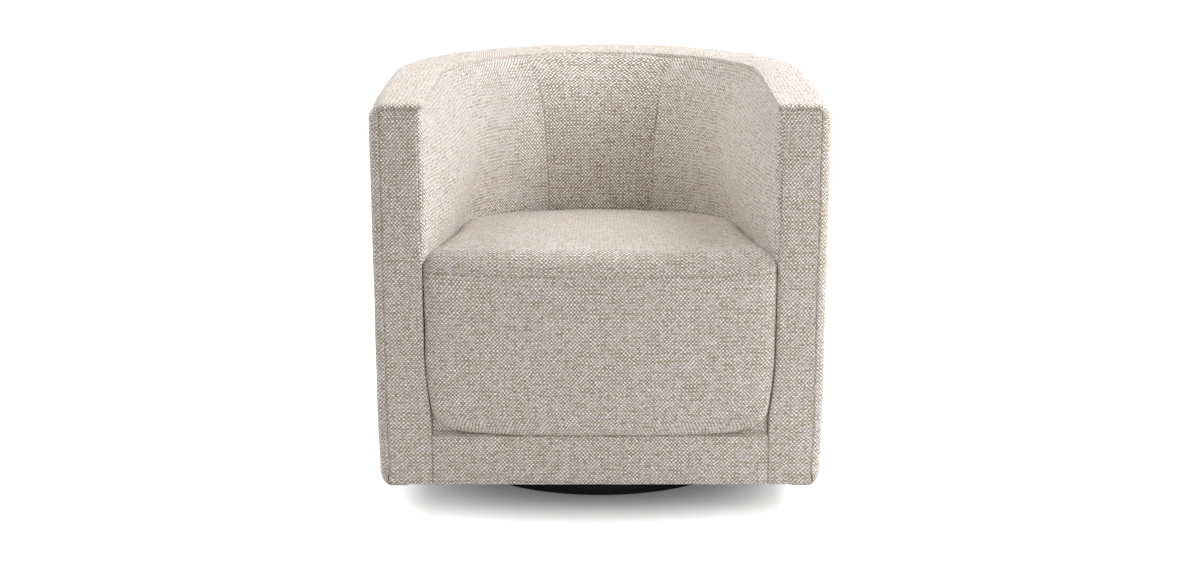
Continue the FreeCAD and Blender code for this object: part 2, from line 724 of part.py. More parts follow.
def build_drum_covers():
    """The outside skin, cut along its seams into the panels it is sewn from."""
    skin = cut("Skin", body_block("OuterBlock", "0"), body_block("CoverLimit", "cover_thickness"))
    padding = body_block("PadLimit", UNDER_COVER)
    low, high = "floor_gap - cut_margin", "chair_height + cut_margin"
    wide, deep = f"({OUTER} + cut_margin)", f"({BACK} + cut_margin)"
    band_seam = "(chair_height - band_drop)"
    face_back = f"({FRONT} + cover_thickness)"
    face_side = f"({OUTER} - face_inset)"
    gap = "skin_gap"

    # Top band, from the inside rim seam over the top and down to its outer seam
    band_plan = hoop("BandPlan", wide, RIM_INNER, AHEAD, band_seam, high)
    face_gap = box("FaceGap", (f"-{face_side} - {gap}", AHEAD, low),
                   (f"{face_side} + {gap}", f"{face_back} + {gap}", "chair_height - cover_thickness"))
    band = common("BandSkin", [skin, band_plan])
    node("top_band_cover", cut("TopBand", band, face_gap))

    # Flat front of each arm, from the foot to the rim
    face = box("RightFace", (RIM_INNER, AHEAD, low),
               (face_side, face_back, "chair_height - cover_thickness - skin_gap"))
    right_face = common("RightFaceSkin", [skin, face])
    node("arm_front_cover_right", right_face)
    node("arm_front_cover_left", mirrored("LeftFaceSkin", right_face))

    # Outside panels below the band, turned under the foot
    wall_plan = hoop("WallPlan", wide, f"({OUTER} - turn_under)", AHEAD, low, f"{band_seam} - {gap}")
    wall = cut("WallSkin", common("WallRing", [skin, wall_plan]), face_gap)
    side_zone = box("SideZone", ("0", AHEAD, low), (wide, CENTRE, high))
    rear_zone = box("RearZone", (f"back_panel_half + {gap}", CENTRE, low), (wide, deep, high))
    right_wall = common("RightWall", [wall, fuse("RightZone", [side_zone, rear_zone])])
    node("outside_arm_cover_right", right_wall)
    node("outside_arm_cover_left", mirrored("LeftWall", right_wall))
    back_zone = box("BackZone", ("-back_panel_half", CENTRE, low), ("back_panel_half", deep, high))
    node("outside_back_cover", common("BackWall", [wall, back_zone]))

    # Front rail panel below the seat, turned under the rail
    rail_half = f"({RIM_INNER} - {gap})"
    rail_top = "(seat_bottom + seat_corner_radius)"
    seat_outline = seat_front_prism("SeatAboveRail", "(-skin_gap)")
    rail_zone = box("RailZone", (f"-{rail_half}", AHEAD, low),
                    (rail_half, f"{FRAME_FRONT} + rail_thickness", rail_top))
    node("front_rail_cover", cut("RailCover", common("RailSkin", [skin, rail_zone]), seat_outline))

    # Padding under the band, behind the arm fronts and behind the rail panel
    rim_plan = hoop("RimPlan", wide, f"({CUSHION_OUTER} + {gap})", AHEAD, f"{FRAME_TOP} + skin_gap", high)
    node("rim_padding", common("RimPadding", [padding, rim_plan]))
    front_zone = box("FrontPadZone", (f"{RIM_INNER} + {UNDER_COVER}", AHEAD, low),
                     (wide, f"{FRAME_FRONT} - skin_gap", FRAME_TOP))
    cushion_zone = box("CushionZone", (RIM_INNER, FAR_AHEAD, f"{CUSHION_FOOT} - {gap}"),
                       (f"{CUSHION_OUTER} + {gap}", CENTRE, high))
    right_pad = common("RightFrontPad", [padding, cut("FrontPadRegion", front_zone, cushion_zone)])
    node("arm_front_pad_right", right_pad)
    node("arm_front_pad_left", mirrored("LeftFrontPad", right_pad))
    rail_pad = box("RailPadZone", (f"-{rail_half}", f"{FRONT} + {UNDER_COVER}", FRAME_BOTTOM),
                   (rail_half, f"{FRAME_FRONT} - skin_gap", rail_top))
    node("front_rail_pad", cut("RailPad", rail_pad, seat_outline))

    # Black lining cloth under the frame, with an opening for the swivel
    cloth = prism("LiningCloth", tub_plan(f"({OUTER} - turn_under - skin_gap)",
                                          f"{FRAME_FRONT} + rail_thickness + skin_gap"),
                  f"{FRAME_BOTTOM} - skin_gap - lining_cloth_thickness", f"{FRAME_BOTTOM} - skin_gap")
    half = "(plate_side / 2 + screw_head_radius)"
    opening = outline_sketch(cloth, "ClothOpening", "XY_Plane",
                             rectangle(f"-{half}", f"-{half}", half, half), f"{FRAME_BOTTOM} - skin_gap")
    pocket(cloth, "ClothCut", opening, "lining_cloth_thickness")
    node("dust_cover", cloth)


# Inside lining: levels from the waist at the seat up to the rim

def lining_level(share):
    """Height, swell, turning place, seam and seam depth at a share of the way from waist to rim."""
    left, arch = 1 - share, f"sin(180 * {share})"
    return (
        f"(waist_height * {left} + {RIM_LEVEL} * {share})",
        f"(waist_swell * {left} + rim_swell * {share} + belly_rise * {arch})",
        f"({CENTRE} + waist_turn * {left} + belly_turn * {arch})",
        f"({WAIST_SEAM} + ({RIM_SEAM} - {WAIST_SEAM}) * {share} ^ 3)",
        f"({WAIST_SEAM_BACK} * {left} + {arc_reach(RIM_INNER, RIM_SEAM)} * {share} - back_swell * {arch})",
    )


LEVELS = [lining_level(band / LINING_BANDS) for band in range(LINING_BANDS + 1)]


class Lining:
    """Plan of the inside surface at one level, set outwards by a layer."""

    def __init__(self, level, layer):
        self.height, swell, turn, seam, seam_back = level
        self.half = f"({RIM_INNER} - {swell})"
        self.turn = f"({turn})"
        self.seam = seam
        across = f"({self.half} - {seam})"
        along = f"({seam_back} - {self.turn})"
        corner = f"(({across} ^ 2 + {along} ^ 2) / (2 * {across}))"
        self.corner_centre = f"({self.half} - {corner})"
        spread = f"({seam} - {self.corner_centre})"
        back = f"({corner} * {seam} / {spread})"
        self.back_centre = f"({self.turn} - {self.corner_centre} * {along} / {spread})"
        reach = f"({self.turn} - {FRONT})"
        self.side_bend = f"(({swell} ^ 2 + {reach} ^ 2) / (2 * {swell}))"
        self.layer = layer
        self.corner = f"({corner} + {layer})"
        self.back = f"({back} + {layer})"
        self.side = f"({self.side_bend} - {layer})"

    def front_point(self, front):
        """Where the arm's inside meets a front line."""
        middle = f"({self.half} + {self.side_bend})"
        return (f"{middle} - sqrt({self.side} ^ 2 - ({self.turn} - ({front})) ^ 2)", front)

    def side_point(self):
        return (f"{self.half} + {self.layer}", self.turn)

    def corner_point(self, across):
        return (across, f"{self.turn} + sqrt({self.corner} ^ 2 - ({across} - {self.corner_centre}) ^ 2)")

    def back_point(self, across, side=1):
        reach = f"{self.back_centre} + sqrt({self.back} ^ 2 - ({across}) ^ 2)"
        return (across if side > 0 else f"-({across})", reach)


def lofted(name, sections, foot):
    """A body through one outline per level, continued straight down from the lowest."""
    body = new_body(name)
    sketches = []
    for index, (height, corners) in enumerate(sections):
        sketches.append(outline_sketch(body, f"{name}Level{index}", "XY_Plane", corners, height))
    loft = body.newObject("PartDesign::AdditiveLoft", name + "Loft")
    loft.Profile = sketches[0]
    loft.Sections = sketches[1:]
    loft.Ruled = True
    doc.recompute()
    skirt = pad(body, name + "Skirt", sketches[0], f"{sections[0][0]} - {foot}", down=True)
    doc.recompute()
    if skirt.Shape.Volume <= loft.Shape.Volume:
        raise RuntimeError(f"{name} has no skirt")
    return body


def side_section(level, front):
    """Arm and side panel at one level, from the front round to the back seam."""
    face = Lining(level, "0")
    seam = f"({face.seam} + skin_gap)"
    return (face.height, [
        (*face.front_point(front), face.side, -1),
        (*face.side_point(), face.corner, 1),
        face.corner_point(seam),
        (seam, BACK),
        (OUTER, BACK),
        (OUTER, front),
    ])


def back_section(level):
    """Centre back panel at one level, between the two back seams."""
    face = Lining(level, "0")
    seam = face.seam
    return (face.height, [
        (*face.back_point(seam), face.back, 1),
        face.back_point(seam, -1),
        (f"-{seam}", BACK),
        (seam, BACK),
    ])


def build_lining():
    front = f"({FRONT} + {UNDER_COVER})"
    inside = prism("WebbingFace", tub_plan(CUSHION_OUTER, AHEAD), CUSHION_FOOT, "chair_height")
    side = lofted("SideCushion", [side_section(level, front) for level in LEVELS], CUSHION_FOOT)
    right = common("RightCushion", [side, inside])
    node("inside_arm_cushion_right", right)
    node("inside_arm_cushion_left", mirrored("LeftCushion", right))
    back = lofted("BackCushion", [back_section(level) for level in LEVELS], CUSHION_FOOT)
    node("inside_back_cushion", common("CentreCushion", [back, inside]))


# Seat

def waist_plan(layer, front):
    """Fills the lining at its waist, from a front line to the curved back."""
    edge = Lining(LEVELS[0], f"(-skin_gap - {layer})")
    across, along = edge.front_point(front)
    side_x, side_y = edge.side_point()
    seam = edge.seam
    return [
        (across, along, edge.side, -1),
        (side_x, side_y, edge.corner, 1),
        (*edge.corner_point(seam), edge.back, 1),
        (*edge.back_point(seam, -1), edge.corner, 1),
        (f"-({side_x})", side_y, edge.side, -1),
        (f"-({across})", along),
    ]


def seat_front_view(layer):
    """Crowned top, softly rounded corners and a narrower rounded foot."""
    half = f"({RIM_INNER} - skin_gap - {layer})"
    shoulder = f"(seat_front_top - seat_crown - seat_side_radius - {layer} / 2)"
    side_radius = f"(seat_side_radius - {layer})"
    foot_radius = f"(seat_corner_radius - {layer})"
    foot = f"(seat_bottom + {layer})"
    top_side = f"({shoulder} + {side_radius})"
    crown = f"(seat_front_top + seat_dome - {layer} - {top_side})"
    chord = f"({half} - {side_radius})"
    crown_radius = f"(({chord} ^ 2 + {crown} ^ 2) / (2 * {crown}))"
    return [
        (f"-({half} - {foot_radius})", foot),
        (f"{half} - {foot_radius}", foot, foot_radius, 1),
        (half, f"{foot} + {foot_radius}"),
        (half, shoulder, side_radius, 1),
        (chord, top_side, crown_radius, 1),
        (f"-{chord}", top_side, side_radius, 1),
        (f"-{half}", shoulder),
        (f"-{half}", f"{foot} + {foot_radius}", foot_radius, 1),
    ]


def seat_side_view(layer):
    """Rounded nose and a top that falls to the back."""
    front = f"({SEAT_FRONT} + {layer})"
    nose = f"(seat_nose_radius - {layer})"
    foot = "(seat_bottom - cut_margin)"
    top_front = f"(seat_front_top - {layer})"
    top_back = f"(seat_back_top - {layer})"
    rear = f"({WAIST_SEAM_BACK} + 2 * cut_margin)"
    return [
        (front, foot),
        (rear, foot),
        (rear, top_back),
        (f"{front} + {nose}", top_front, nose, 1),
        (front, f"{top_front} - {nose}"),
    ]


def seat_front_prism(name, layer):
    body = new_body(name)
    sketch = outline_sketch(body, name + "Outline", "XZ_Plane", seat_front_view(layer))
    pad(body, name + "Pad", sketch, f"2 * {BODY_DEPTH}").Midplane = True
    return body


def side_prism(name, corners):
    """A side view carried right across the chair."""
    body = new_body(name)
    sketch = outline_sketch(body, name + "Outline", "YZ_Plane", corners)
    pad(body, name + "Pad", sketch, "2 * chair_width").Midplane = True
    return body


def seat_block(name, layer):
    """The seat's soft block: plan, front view and side view cut from one another."""
    low, high = "(seat_bottom - 2 * cut_margin)", "(seat_front_top + cut_margin)"
    plan = prism(name + "Plan", waist_plan(layer, f"({SEAT_FRONT} - cut_margin)"), low, high)
    front_view = seat_front_prism(name + "Front", layer)
    side_view = side_prism(name + "Side", seat_side_view(layer))
    rounded_block = common(name + "Rounded", [plan, front_view])
    return common(name, [rounded_block, side_view])


def build_seat():
    outside = seat_block("SeatOutside", "0")
    inside = seat_block("SeatInside", "cover_thickness")
    foam_block = seat_block("SeatFoamBlock", UNDER_COVER)
    shell = cut("SeatShell", outside, inside)
    before, above, below = FAR_AHEAD, "(seat_front_top + cut_margin)", "(seat_bottom - cut_margin)"
    seam, seam_end = "seat_seam_height", f"({FRONT} + seat_nose_radius)"
    side_seam = "(seat_back_top - seat_side_drop)"
    face_back = f"({APRON_BACK} - edge_margin)"
    top_region = side_prism("SeatTopRegion", [
        (before, seam), (seam_end, seam), (seam_end, side_seam), (BACK, side_seam), (BACK, above), (before, above),
    ])
    node("seat_top_cover", common("SeatTop", [shell, top_region]))
    face_region = side_prism("SeatFaceRegion", [
        (before, below), (face_back, below), (face_back, f"{side_seam} - skin_gap"),
        (f"{seam_end} - skin_gap", f"{side_seam} - skin_gap"), (f"{seam_end} - skin_gap", f"{seam} - skin_gap"),
        (before, f"{seam} - skin_gap"),
    ])
    node("seat_front_cover", common("SeatFace", [shell, face_region]))
    rebate = box("SeatRebate", (f"-{OUTER}", APRON_BACK, "0"), (OUTER, BACK, CUSHION_FOOT))
    node("seat_foam", cut("SeatFoam", foam_block, rebate))

    felt = prism("DeckPad", waist_plan("0", f"({APRON_BACK} + skin_gap)"),
                 f"{CUSHION_FOOT} - skin_gap - deck_pad", f"{CUSHION_FOOT} - skin_gap")
    node("seat_deck_pad", felt)


build_base()
build_bearing()
build_upper_swivel()
build_frame()
build_webbing()
build_drum_covers()
build_lining()
build_seat()
doc.recompute()

# Every object has to be up to date and every piece a valid solid before it is written
for thing in doc.Objects:
    if "Invalid" in thing.State or "Error" in thing.State:
        raise RuntimeError(f"{thing.Name} did not build: {thing.State}")
os.makedirs("parts", exist_ok=True)
for thing in NODES:
    shape = thing.Shape
    if shape.isNull() or not shape.isValid() or not shape.Solids:
        raise RuntimeError(f"{thing.Label} is not a valid solid")
    print(f"{thing.Label}: {len(shape.Solids)} solids, {shape.Volume / 1000:.1f} cm3")
for thing in NODES:
    thing.Shape.exportStep(f"parts/{thing.Label}.step")
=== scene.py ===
import bpy
import math
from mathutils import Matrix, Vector, noise


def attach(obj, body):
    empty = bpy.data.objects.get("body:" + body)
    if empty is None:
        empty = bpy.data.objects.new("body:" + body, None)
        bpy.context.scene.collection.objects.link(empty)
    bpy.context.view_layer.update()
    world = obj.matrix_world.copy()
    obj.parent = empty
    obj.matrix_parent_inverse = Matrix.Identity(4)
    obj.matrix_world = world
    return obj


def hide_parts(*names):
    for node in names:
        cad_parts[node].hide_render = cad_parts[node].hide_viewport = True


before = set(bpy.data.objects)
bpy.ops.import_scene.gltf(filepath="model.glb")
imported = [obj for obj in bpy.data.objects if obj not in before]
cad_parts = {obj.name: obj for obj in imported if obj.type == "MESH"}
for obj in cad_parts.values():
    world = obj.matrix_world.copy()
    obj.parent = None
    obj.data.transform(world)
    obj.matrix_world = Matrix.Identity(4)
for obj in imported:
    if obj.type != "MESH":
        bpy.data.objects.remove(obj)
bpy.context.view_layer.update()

# Sizes in metres, in the frame of the solids: origin on the floor, +Z up, the chair faces -Y
OUTER = 0.390
CENTRE = 0.008
FRONT = -0.392
RIM_INNER = 0.300
TOP = 0.735
FOOT = 0.058
BAND_SEAM = 0.695
BACK_SEAM = 0.230
CLOTH = 0.003

# Meshes: steps between points, and the places close beside a seam
STEP = 0.008
PANEL_STEP = 0.007
FINE_STEP = 0.004
SEAM_PLACES = (0, 0.0008, 0.0016, 0.0025, 0.0034, 0.005, 0.0075, 0.011)
SEAM_ZONE = 0.017
FAR = 1.0
QUARTER = math.pi / 2
LEAST_LENGTH = 1e-9
NO_LENGTH = 1e-12

# A sewn edge: the tuck that draws the cloth down, the groove of the seam and the ridge beside it
TUCK_DEEP, TUCK_WIDE = 0.0010, 0.008
STITCH_DEEP, STITCH_WIDE = 0.0010, 0.0012
RIDGE_HIGH, RIDGE_PLACE, RIDGE_WIDE = 0.0005, 0.0032, 0.0015

# Low waves in the cloth, smaller where it is pulled tighter
WAVE_LENGTH = 0.09
TAUT_WAVES = 0.0008
BACK_WAVES = 0.0014
FACE_WAVES = 0.0014
ARM_WAVES = 0.0016
SEAT_WAVES = 0.0020
SEED_STEP = (7.1, 3.7, 5.3)


# Mesh helpers

def lerp(a, b, share):
    return a + (b - a) * share


def spread(start, end, step):
    """Evenly spaced values from start to end, no further apart than step."""
    count = max(1, math.ceil(abs(end - start) / step))
    return [lerp(start, end, index / count) for index in range(count + 1)]


def ease(value, low, high):
    """Rises smoothly from 0 at the low value to 1 at the high one."""
    share = min(1, max(0, (value - low) / (high - low)))
    return share * share * (3 - 2 * share)


def roll(distance, radius):
    """How far a soft edge falls away at a distance from its seam."""
    if distance >= radius:
        return 0
    return radius - math.sqrt(radius ** 2 - (radius - max(0, distance)) ** 2)


def oval_roll(distance, width, depth):
    """As roll, for an edge that is wider than it is deep."""
    if distance >= width:
        return 0
    return depth * (1 - math.sqrt(1 - ((width - max(0, distance)) / width) ** 2))


def seam_fall(distance, depth=1.0):
    """A sewn edge: drawn down into its seam, with a slight ridge beside it."""
    tuck = TUCK_DEEP * math.exp(-(distance / TUCK_WIDE) ** 2)
    groove = STITCH_DEEP * math.exp(-(distance / STITCH_WIDE) ** 2)
    ridge = RIDGE_HIGH * math.exp(-((distance - RIDGE_PLACE) / RIDGE_WIDE) ** 2)
    return depth * (tuck + groove - ridge)


def panel_stops(start, end, step=STEP):
    """Places along a panel, close together beside the seams at its two ends."""
    near = [start + place for place in SEAM_PLACES]
    far = [end - place for place in reversed(SEAM_PLACES)]
    return near + spread(start + SEAM_ZONE, end - SEAM_ZONE, step) + far


def arc_radius(depth, length):
    """Radius of an arc that starts straight and bends aside by a depth over a length."""
    return (depth ** 2 + length ** 2) / (2 * depth)


def wander(point, seed):
    """Smooth wandering between about -1 and 1."""
    return noise.noise(Vector(point) / WAVE_LENGTH + Vector([seed * step for step in SEED_STEP]))


def running_lengths(points):
    """The length of a line up to each of its points."""
    total = [0]
    for before, after in zip(points, points[1:]):
        total.append(total[-1] + (Vector(after) - Vector(before)).length)
    return total


def grid_normals(grid):
    """The way that the surface faces at each point of a grid."""
    rows, columns = len(grid), len(grid[0])
    normals = []
    for row in range(rows):
        for column in range(columns):
            left = Vector(grid[row][max(0, column - 1)])
            right = Vector(grid[row][min(columns - 1, column + 1)])
            below = Vector(grid[max(0, row - 1)][column])
            above = Vector(grid[min(rows - 1, row + 1)][column])
            normal = (right - left).cross(above - below)
            normals.append(normal.normalized() if normal.length > NO_LENGTH else Vector((0, 0, 1)))
    return normals


def grid_rim(rows, columns):
    """The places along the edge of a grid, once round."""
    rim = [(0, column) for column in range(columns)]
    rim += [(row, columns - 1) for row in range(1, rows)]
    rim += [(rows - 1, column) for column in range(columns - 2, -1, -1)]
    rim += [(row, 0) for row in range(rows - 2, 0, -1)]
    return rim


def skin_faces(rows, columns):
    """Faces of both sides of a skin and of its rim, and the grid place of each of their corners."""
    count = rows * columns
    faces, layout = [], []
    for row in range(rows - 1):
        for column in range(columns - 1):
            a, b = row * columns + column, row * columns + column + 1
            c, d = b + columns, a + columns
            faces.append((a, b, c, d))
            faces.append((d + count, c + count, b + count, a + count))
            layout += [(row, column), (row, column + 1), (row + 1, column + 1), (row + 1, column)]
            layout += [(row + 1, column), (row + 1, column + 1), (row, column + 1), (row, column)]
    rim = grid_rim(rows, columns)
    for index, (row, column) in enumerate(rim):
        next_row, next_column = rim[(index + 1) % len(rim)]
        a, b = row * columns + column, next_row * columns + next_column
        faces.append((b, a, a + count, b + count))
        layout += [(next_row, next_column), (row, column), (row, column), (next_row, next_column)]
    return faces, layout


def skin(name, grid, seed, waves=TAUT_WAVES):
    """A cloth skin through a grid of points, thickened on its inner side.

    Its weave is laid along the grid, in metres.
    """
    rows, columns = len(grid), len(grid[0])
    across = running_lengths(grid[rows // 2])
    along = running_lengths([line[columns // 2] for line in grid])
    points = [Vector(point) for line in grid for point in line]
    outside, inside = [], []
    for point, normal in zip(points, grid_normals(grid)):
        moved = point + normal * (waves * wander(point, seed))
        outside.append(moved)
        inside.append(moved - normal * CLOTH)
    faces, layout = skin_faces(rows, columns)
    mesh = bpy.data.meshes.new(name)
    mesh.from_pydata([tuple(point) for point in outside + inside], [], faces)
    weave = mesh.uv_layers.new(name="Weave")
    for loop, (row, column) in zip(weave.data, layout):
        loop.uv = (across[column], along[row])
    for polygon in mesh.polygons:
        polygon.use_smooth = True
    mesh.update()
    piece = bpy.data.objects.new(name, mesh)
    bpy.context.collection.objects.link(piece)
    return piece


def mirror_grid(grid):
    """The same surface on the other side of the chair, still facing outwards."""
    return [[(-x, y, z) for x, y, z in reversed(line)] for line in grid]


# Materials

# Sockets of the Mix node for its two colours and for the colour that it gives
FIRST_COLOUR, SECOND_COLOUR, MIXED_COLOUR = 6, 7, 2
WHITE = (1, 1, 1, 1)


def srgb(red, green, blue):
    """A colour as it is read off a screen, from 0 to 255."""
    def linear(level):
        level /= 255
        return level / 12.92 if level <= 0.04045 else ((level + 0.055) / 1.055) ** 2.4
    return (linear(red), linear(green), linear(blue), 1)


class Graph:
    """A material's nodes, written as short expressions."""

    def __init__(self, name):
        self.material = bpy.data.materials.new(name)
        self.material.use_nodes = True
        self.tree = self.material.node_tree
        self.shader = self.tree.nodes["Principled BSDF"]

    def add(self, kind, inputs=(), **settings):
        made = self.tree.nodes.new(kind)
        for key, setting in settings.items():
            setattr(made, key, setting)
        for socket, source in dict(inputs).items():
            self.feed(made.inputs[socket], source)
        return made

    def feed(self, socket, source):
        if isinstance(source, bpy.types.NodeSocket):
            self.tree.links.new(source, socket)
        else:
            socket.default_value = source

    def math(self, operation, *values):
        made = self.tree.nodes.new("ShaderNodeMath")
        made.operation = operation
        for socket, source in zip(made.inputs, values):
            self.feed(socket, source)
        return made.outputs[0]

    def mix(self, share, first, second):
        made = self.tree.nodes.new("ShaderNodeMix")
        made.data_type = "RGBA"
        self.feed(made.inputs["Factor"], share)
        self.feed(made.inputs[FIRST_COLOUR], first)
        self.feed(made.inputs[SECOND_COLOUR], second)
        return made.outputs[MIXED_COLOUR]

    def noise(self, vector, scale, detail=2.0, roughness=0.5):
        made = self.add("ShaderNodeTexNoise", {"Scale": scale, "Detail": detail, "Roughness": roughness})
        self.tree.links.new(vector, made.inputs["Vector"])
        return made.outputs["Fac"]

    def combine(self, x, y, z=0.0):
        return self.add("ShaderNodeCombineXYZ", {"X": x, "Y": y, "Z": z}).outputs[0]

    def ramp(self, value, low, high):
        made = self.add("ShaderNodeMapRange", {"Value": value, "From Min": low, "From Max": high})
        made.interpolation_type = "SMOOTHSTEP"
        return made.outputs[0]

    def bump(self, height, distance, strength):
        made = self.add("ShaderNodeBump", {"Height": height, "Distance": distance, "Strength": strength})
        return made.outputs[0]

    def finish(self, colour, normal=None, **values):
        """Feeds the shader; a value's name is its socket's, with _ for each space."""
        self.feed(self.shader.inputs["Base Color"], colour)
        if normal is not None:
            self.feed(self.shader.inputs["Normal"], normal)
        for socket, source in values.items():
            self.feed(self.shader.inputs[socket.replace("_", " ")], source)
        return self.material


# The weave is counted in cells, and its rows drift a little from the straight
CELL_HIGH = 0.0070
CELL_WIDE = CELL_HIGH * 0.96
DRIFT_SCALE, DRIFT = 38, 1.2
SLANT = 0.07
NUB_THIN = 3.5
NUB_STRENGTH, NUB_CHANCE = 0.74, 0.40
SLUB_ALONG, SLUB_ACROSS, SLUB_ROUGHNESS = 0.13, 1.7, 0.6
SLUB_RISE = 0.42
FIBRE_SCALE, FIBRE_DETAIL, FIBRE_ROUGHNESS = 4.0, 3.0, 0.65
FIBRE_RISE = 0.42
# Heights where the painted shade of the gaps gives way to yarn, and where the yarn turns to its painted
# highlight
GAP_END, YARN_START = 0.06, 0.52
MIDDLE_END, LIGHT_START = 0.34, 0.82
WEAVE_HIGH, WEAVE_STRENGTH = 0.0027, 0.9


def woven(name, light, middle, gap_shade, between, slim):
    """A coarse weave: nubs of thick yarn in rows, with fainter ones between them, over gaps darkened with
    painted shade.

    between is the strength of the fainter nubs, and slim how short a nub is along its row.
    """
    graph = Graph(name)
    uv = graph.add("ShaderNodeUVMap", uv_map="Weave").outputs[0]
    split = graph.add("ShaderNodeSeparateXYZ", {"Vector": uv})
    drift_u = graph.noise(uv, DRIFT_SCALE)
    drift_v = graph.noise(graph.combine(split.outputs[1], split.outputs[0], 3.0), DRIFT_SCALE)
    u = graph.math("MULTIPLY_ADD", split.outputs[0], 1 / CELL_WIDE, graph.math("MULTIPLY", drift_u, DRIFT))
    v = graph.math("MULTIPLY_ADD", split.outputs[1], 1 / CELL_HIGH, graph.math("MULTIPLY", drift_v, DRIFT))

    def nubs(shift, seed, strength):
        """One set of nubs, one to each cell of the weave."""
        along, up = graph.math("ADD", u, shift), graph.math("ADD", v, shift)
        cell = graph.combine(graph.math("FLOOR", along), graph.math("FLOOR", up), seed)
        chance = graph.add("ShaderNodeTexWhiteNoise", {"Vector": cell}, noise_dimensions="3D").outputs[0]
        away = graph.math("SUBTRACT", graph.math("FRACT", along), 0.5)
        rise = graph.math("SUBTRACT", graph.math("FRACT", up), 0.5)
        long_way = graph.math("MULTIPLY_ADD", rise, SLANT, away)
        short_way = graph.math("MULTIPLY_ADD", away, -SLANT, rise)
        far = graph.math("ADD", graph.math("POWER", graph.math("MULTIPLY", long_way, slim), 2.0),
                         graph.math("POWER", graph.math("MULTIPLY", short_way, NUB_THIN), 2.0))
        bump = graph.math("EXPONENT", graph.math("MULTIPLY", far, -1.0))
        return graph.math("MULTIPLY", bump, graph.math("MULTIPLY_ADD", chance, NUB_CHANCE, strength))

    def slubs(along_u, along_v, seed):
        """Thick and thin stretches of yarn, drawn out in one of the two directions."""
        drawn_u = graph.math("MULTIPLY", u, along_u)
        drawn_v = graph.math("MULTIPLY", v, along_v)
        return graph.noise(graph.combine(drawn_u, drawn_v, seed), 1.0, roughness=SLUB_ROUGHNESS)

    height = graph.math("MAXIMUM", nubs(0.0, 1.0, NUB_STRENGTH), nubs(0.5, 2.0, between))
    rows = slubs(SLUB_ALONG, SLUB_ACROSS, 0.0)
    columns = slubs(SLUB_ACROSS, SLUB_ALONG, 6.0)
    slub = graph.math("MULTIPLY_ADD", columns, 0.5, graph.math("MULTIPLY", rows, 0.5))
    fibre = graph.noise(graph.combine(u, v, 9.0), FIBRE_SCALE, FIBRE_DETAIL, FIBRE_ROUGHNESS)
    lowered = graph.math("SUBTRACT", height, FIBRE_RISE / 2)
    raised = graph.math("ADD", graph.math("MULTIPLY_ADD", fibre, FIBRE_RISE, lowered),
                        graph.math("MULTIPLY_ADD", slub, SLUB_RISE, -SLUB_RISE / 2))
    # Colour follows the weave's height: the gap colour is painted shade in the hollows, and the light
    # colour is a painted highlight on the highest nubs. The slubs and fibre add the yarn's own uneven tone.
    yarn = graph.mix(graph.ramp(raised, MIDDLE_END, LIGHT_START), middle, light)
    colour = graph.mix(graph.ramp(raised, GAP_END, YARN_START), gap_shade, yarn)
    normal = graph.bump(raised, WEAVE_HIGH, WEAVE_STRENGTH)
    return graph.finish(colour, normal, Roughness=0.92, Specular_IOR_Level=0.18,
                        Sheen_Weight=0.12, Sheen_Roughness=0.6)


GRAIN_DETAIL, GRAIN_ROUGHNESS = 5.0, 0.62
GRAIN_DARK, GRAIN_LIGHT = 0.32, 0.68
GRAIN_STRENGTH = 0.6


def grained(name, light, dark, scale, grain, roughness=0.6, depth=0.0004, **values):
    """Wood, board, cloth, steel or plastic with a streaked surface, fixed to the object.

    grain is how closely the streaks follow each other along each axis.
    """
    graph = Graph(name)
    place = graph.add("ShaderNodeTexCoord").outputs["Object"]
    split = graph.add("ShaderNodeSeparateXYZ", {"Vector": place})
    drawn_out = [graph.math("MULTIPLY", split.outputs[axis], grain[axis]) for axis in range(3)]
    streaks = graph.noise(graph.combine(*drawn_out), scale, GRAIN_DETAIL, GRAIN_ROUGHNESS)
    colour = graph.mix(graph.ramp(streaks, GRAIN_DARK, GRAIN_LIGHT), dark, light)
    normal = graph.bump(streaks, depth, GRAIN_STRENGTH)
    return graph.finish(colour, normal, Roughness=roughness, **values)


# One cloth in three copies with painted light and shade: the inside ones have lighter yarn over darker
# gaps, painted for how the light falls there
cover = woven("cover_cloth", srgb(252, 250, 253), srgb(228, 214, 201), srgb(136, 115, 78),
              between=0.46, slim=2.6)
back_lining_painted_light_cloth = woven("back_lining_painted_light_cloth", srgb(252, 251, 255), srgb(240, 229, 216), srgb(108, 84, 46),
                          between=0.40, slim=2.95)
arm_lining_painted_light_cloth = woven("arm_lining_painted_light_cloth", srgb(254, 253, 255), srgb(250, 240, 230), srgb(120, 96, 58),
                         between=0.42, slim=2.8)


# Binding pieces to the chair


def dress(node, material):
    """Gives a solid that stays in view its own finish."""
    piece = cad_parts[node]
    piece.data.materials.clear()
    piece.data.materials.append(material)


def bind(piece, node_names, material):
    """Puts a soft piece on the chair in place of its plain solids."""
    piece.data.materials.append(material)
    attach(piece, "chair")
    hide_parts(*node_names)


def seat_on(piece, node_names, material=cover):
    """Binds a padded piece."""
    bind(piece, node_names, material)


def stretch(piece, node_names):
    """Binds a plain panel of cloth, pulled tight over the board; its mesh has two sides, its cloth one."""
    bind(piece, node_names, cover)


# The drum: its wall and band share one rounded front corner, which meets the flat arm fronts

ARC = math.pi * OUTER
STRAIGHT = CENTRE - FRONT
SEAM_ANGLE = math.acos(BACK_SEAM / OUTER)
WALL_SEAM = STRAIGHT + OUTER * SEAM_ANGLE
BACK_MIDDLE = STRAIGHT + ARC / 2

# The flat front of each arm: its outer side, its top, and how round its corners are
FACE_SIDE = 0.372
FACE_TOP = 0.7260
FACE_FOOT_ROUND = 0.003
FACE_CORNER = 0.009
SIDE_ROUND = OUTER - FACE_SIDE
CORNER_RUN = 0.030

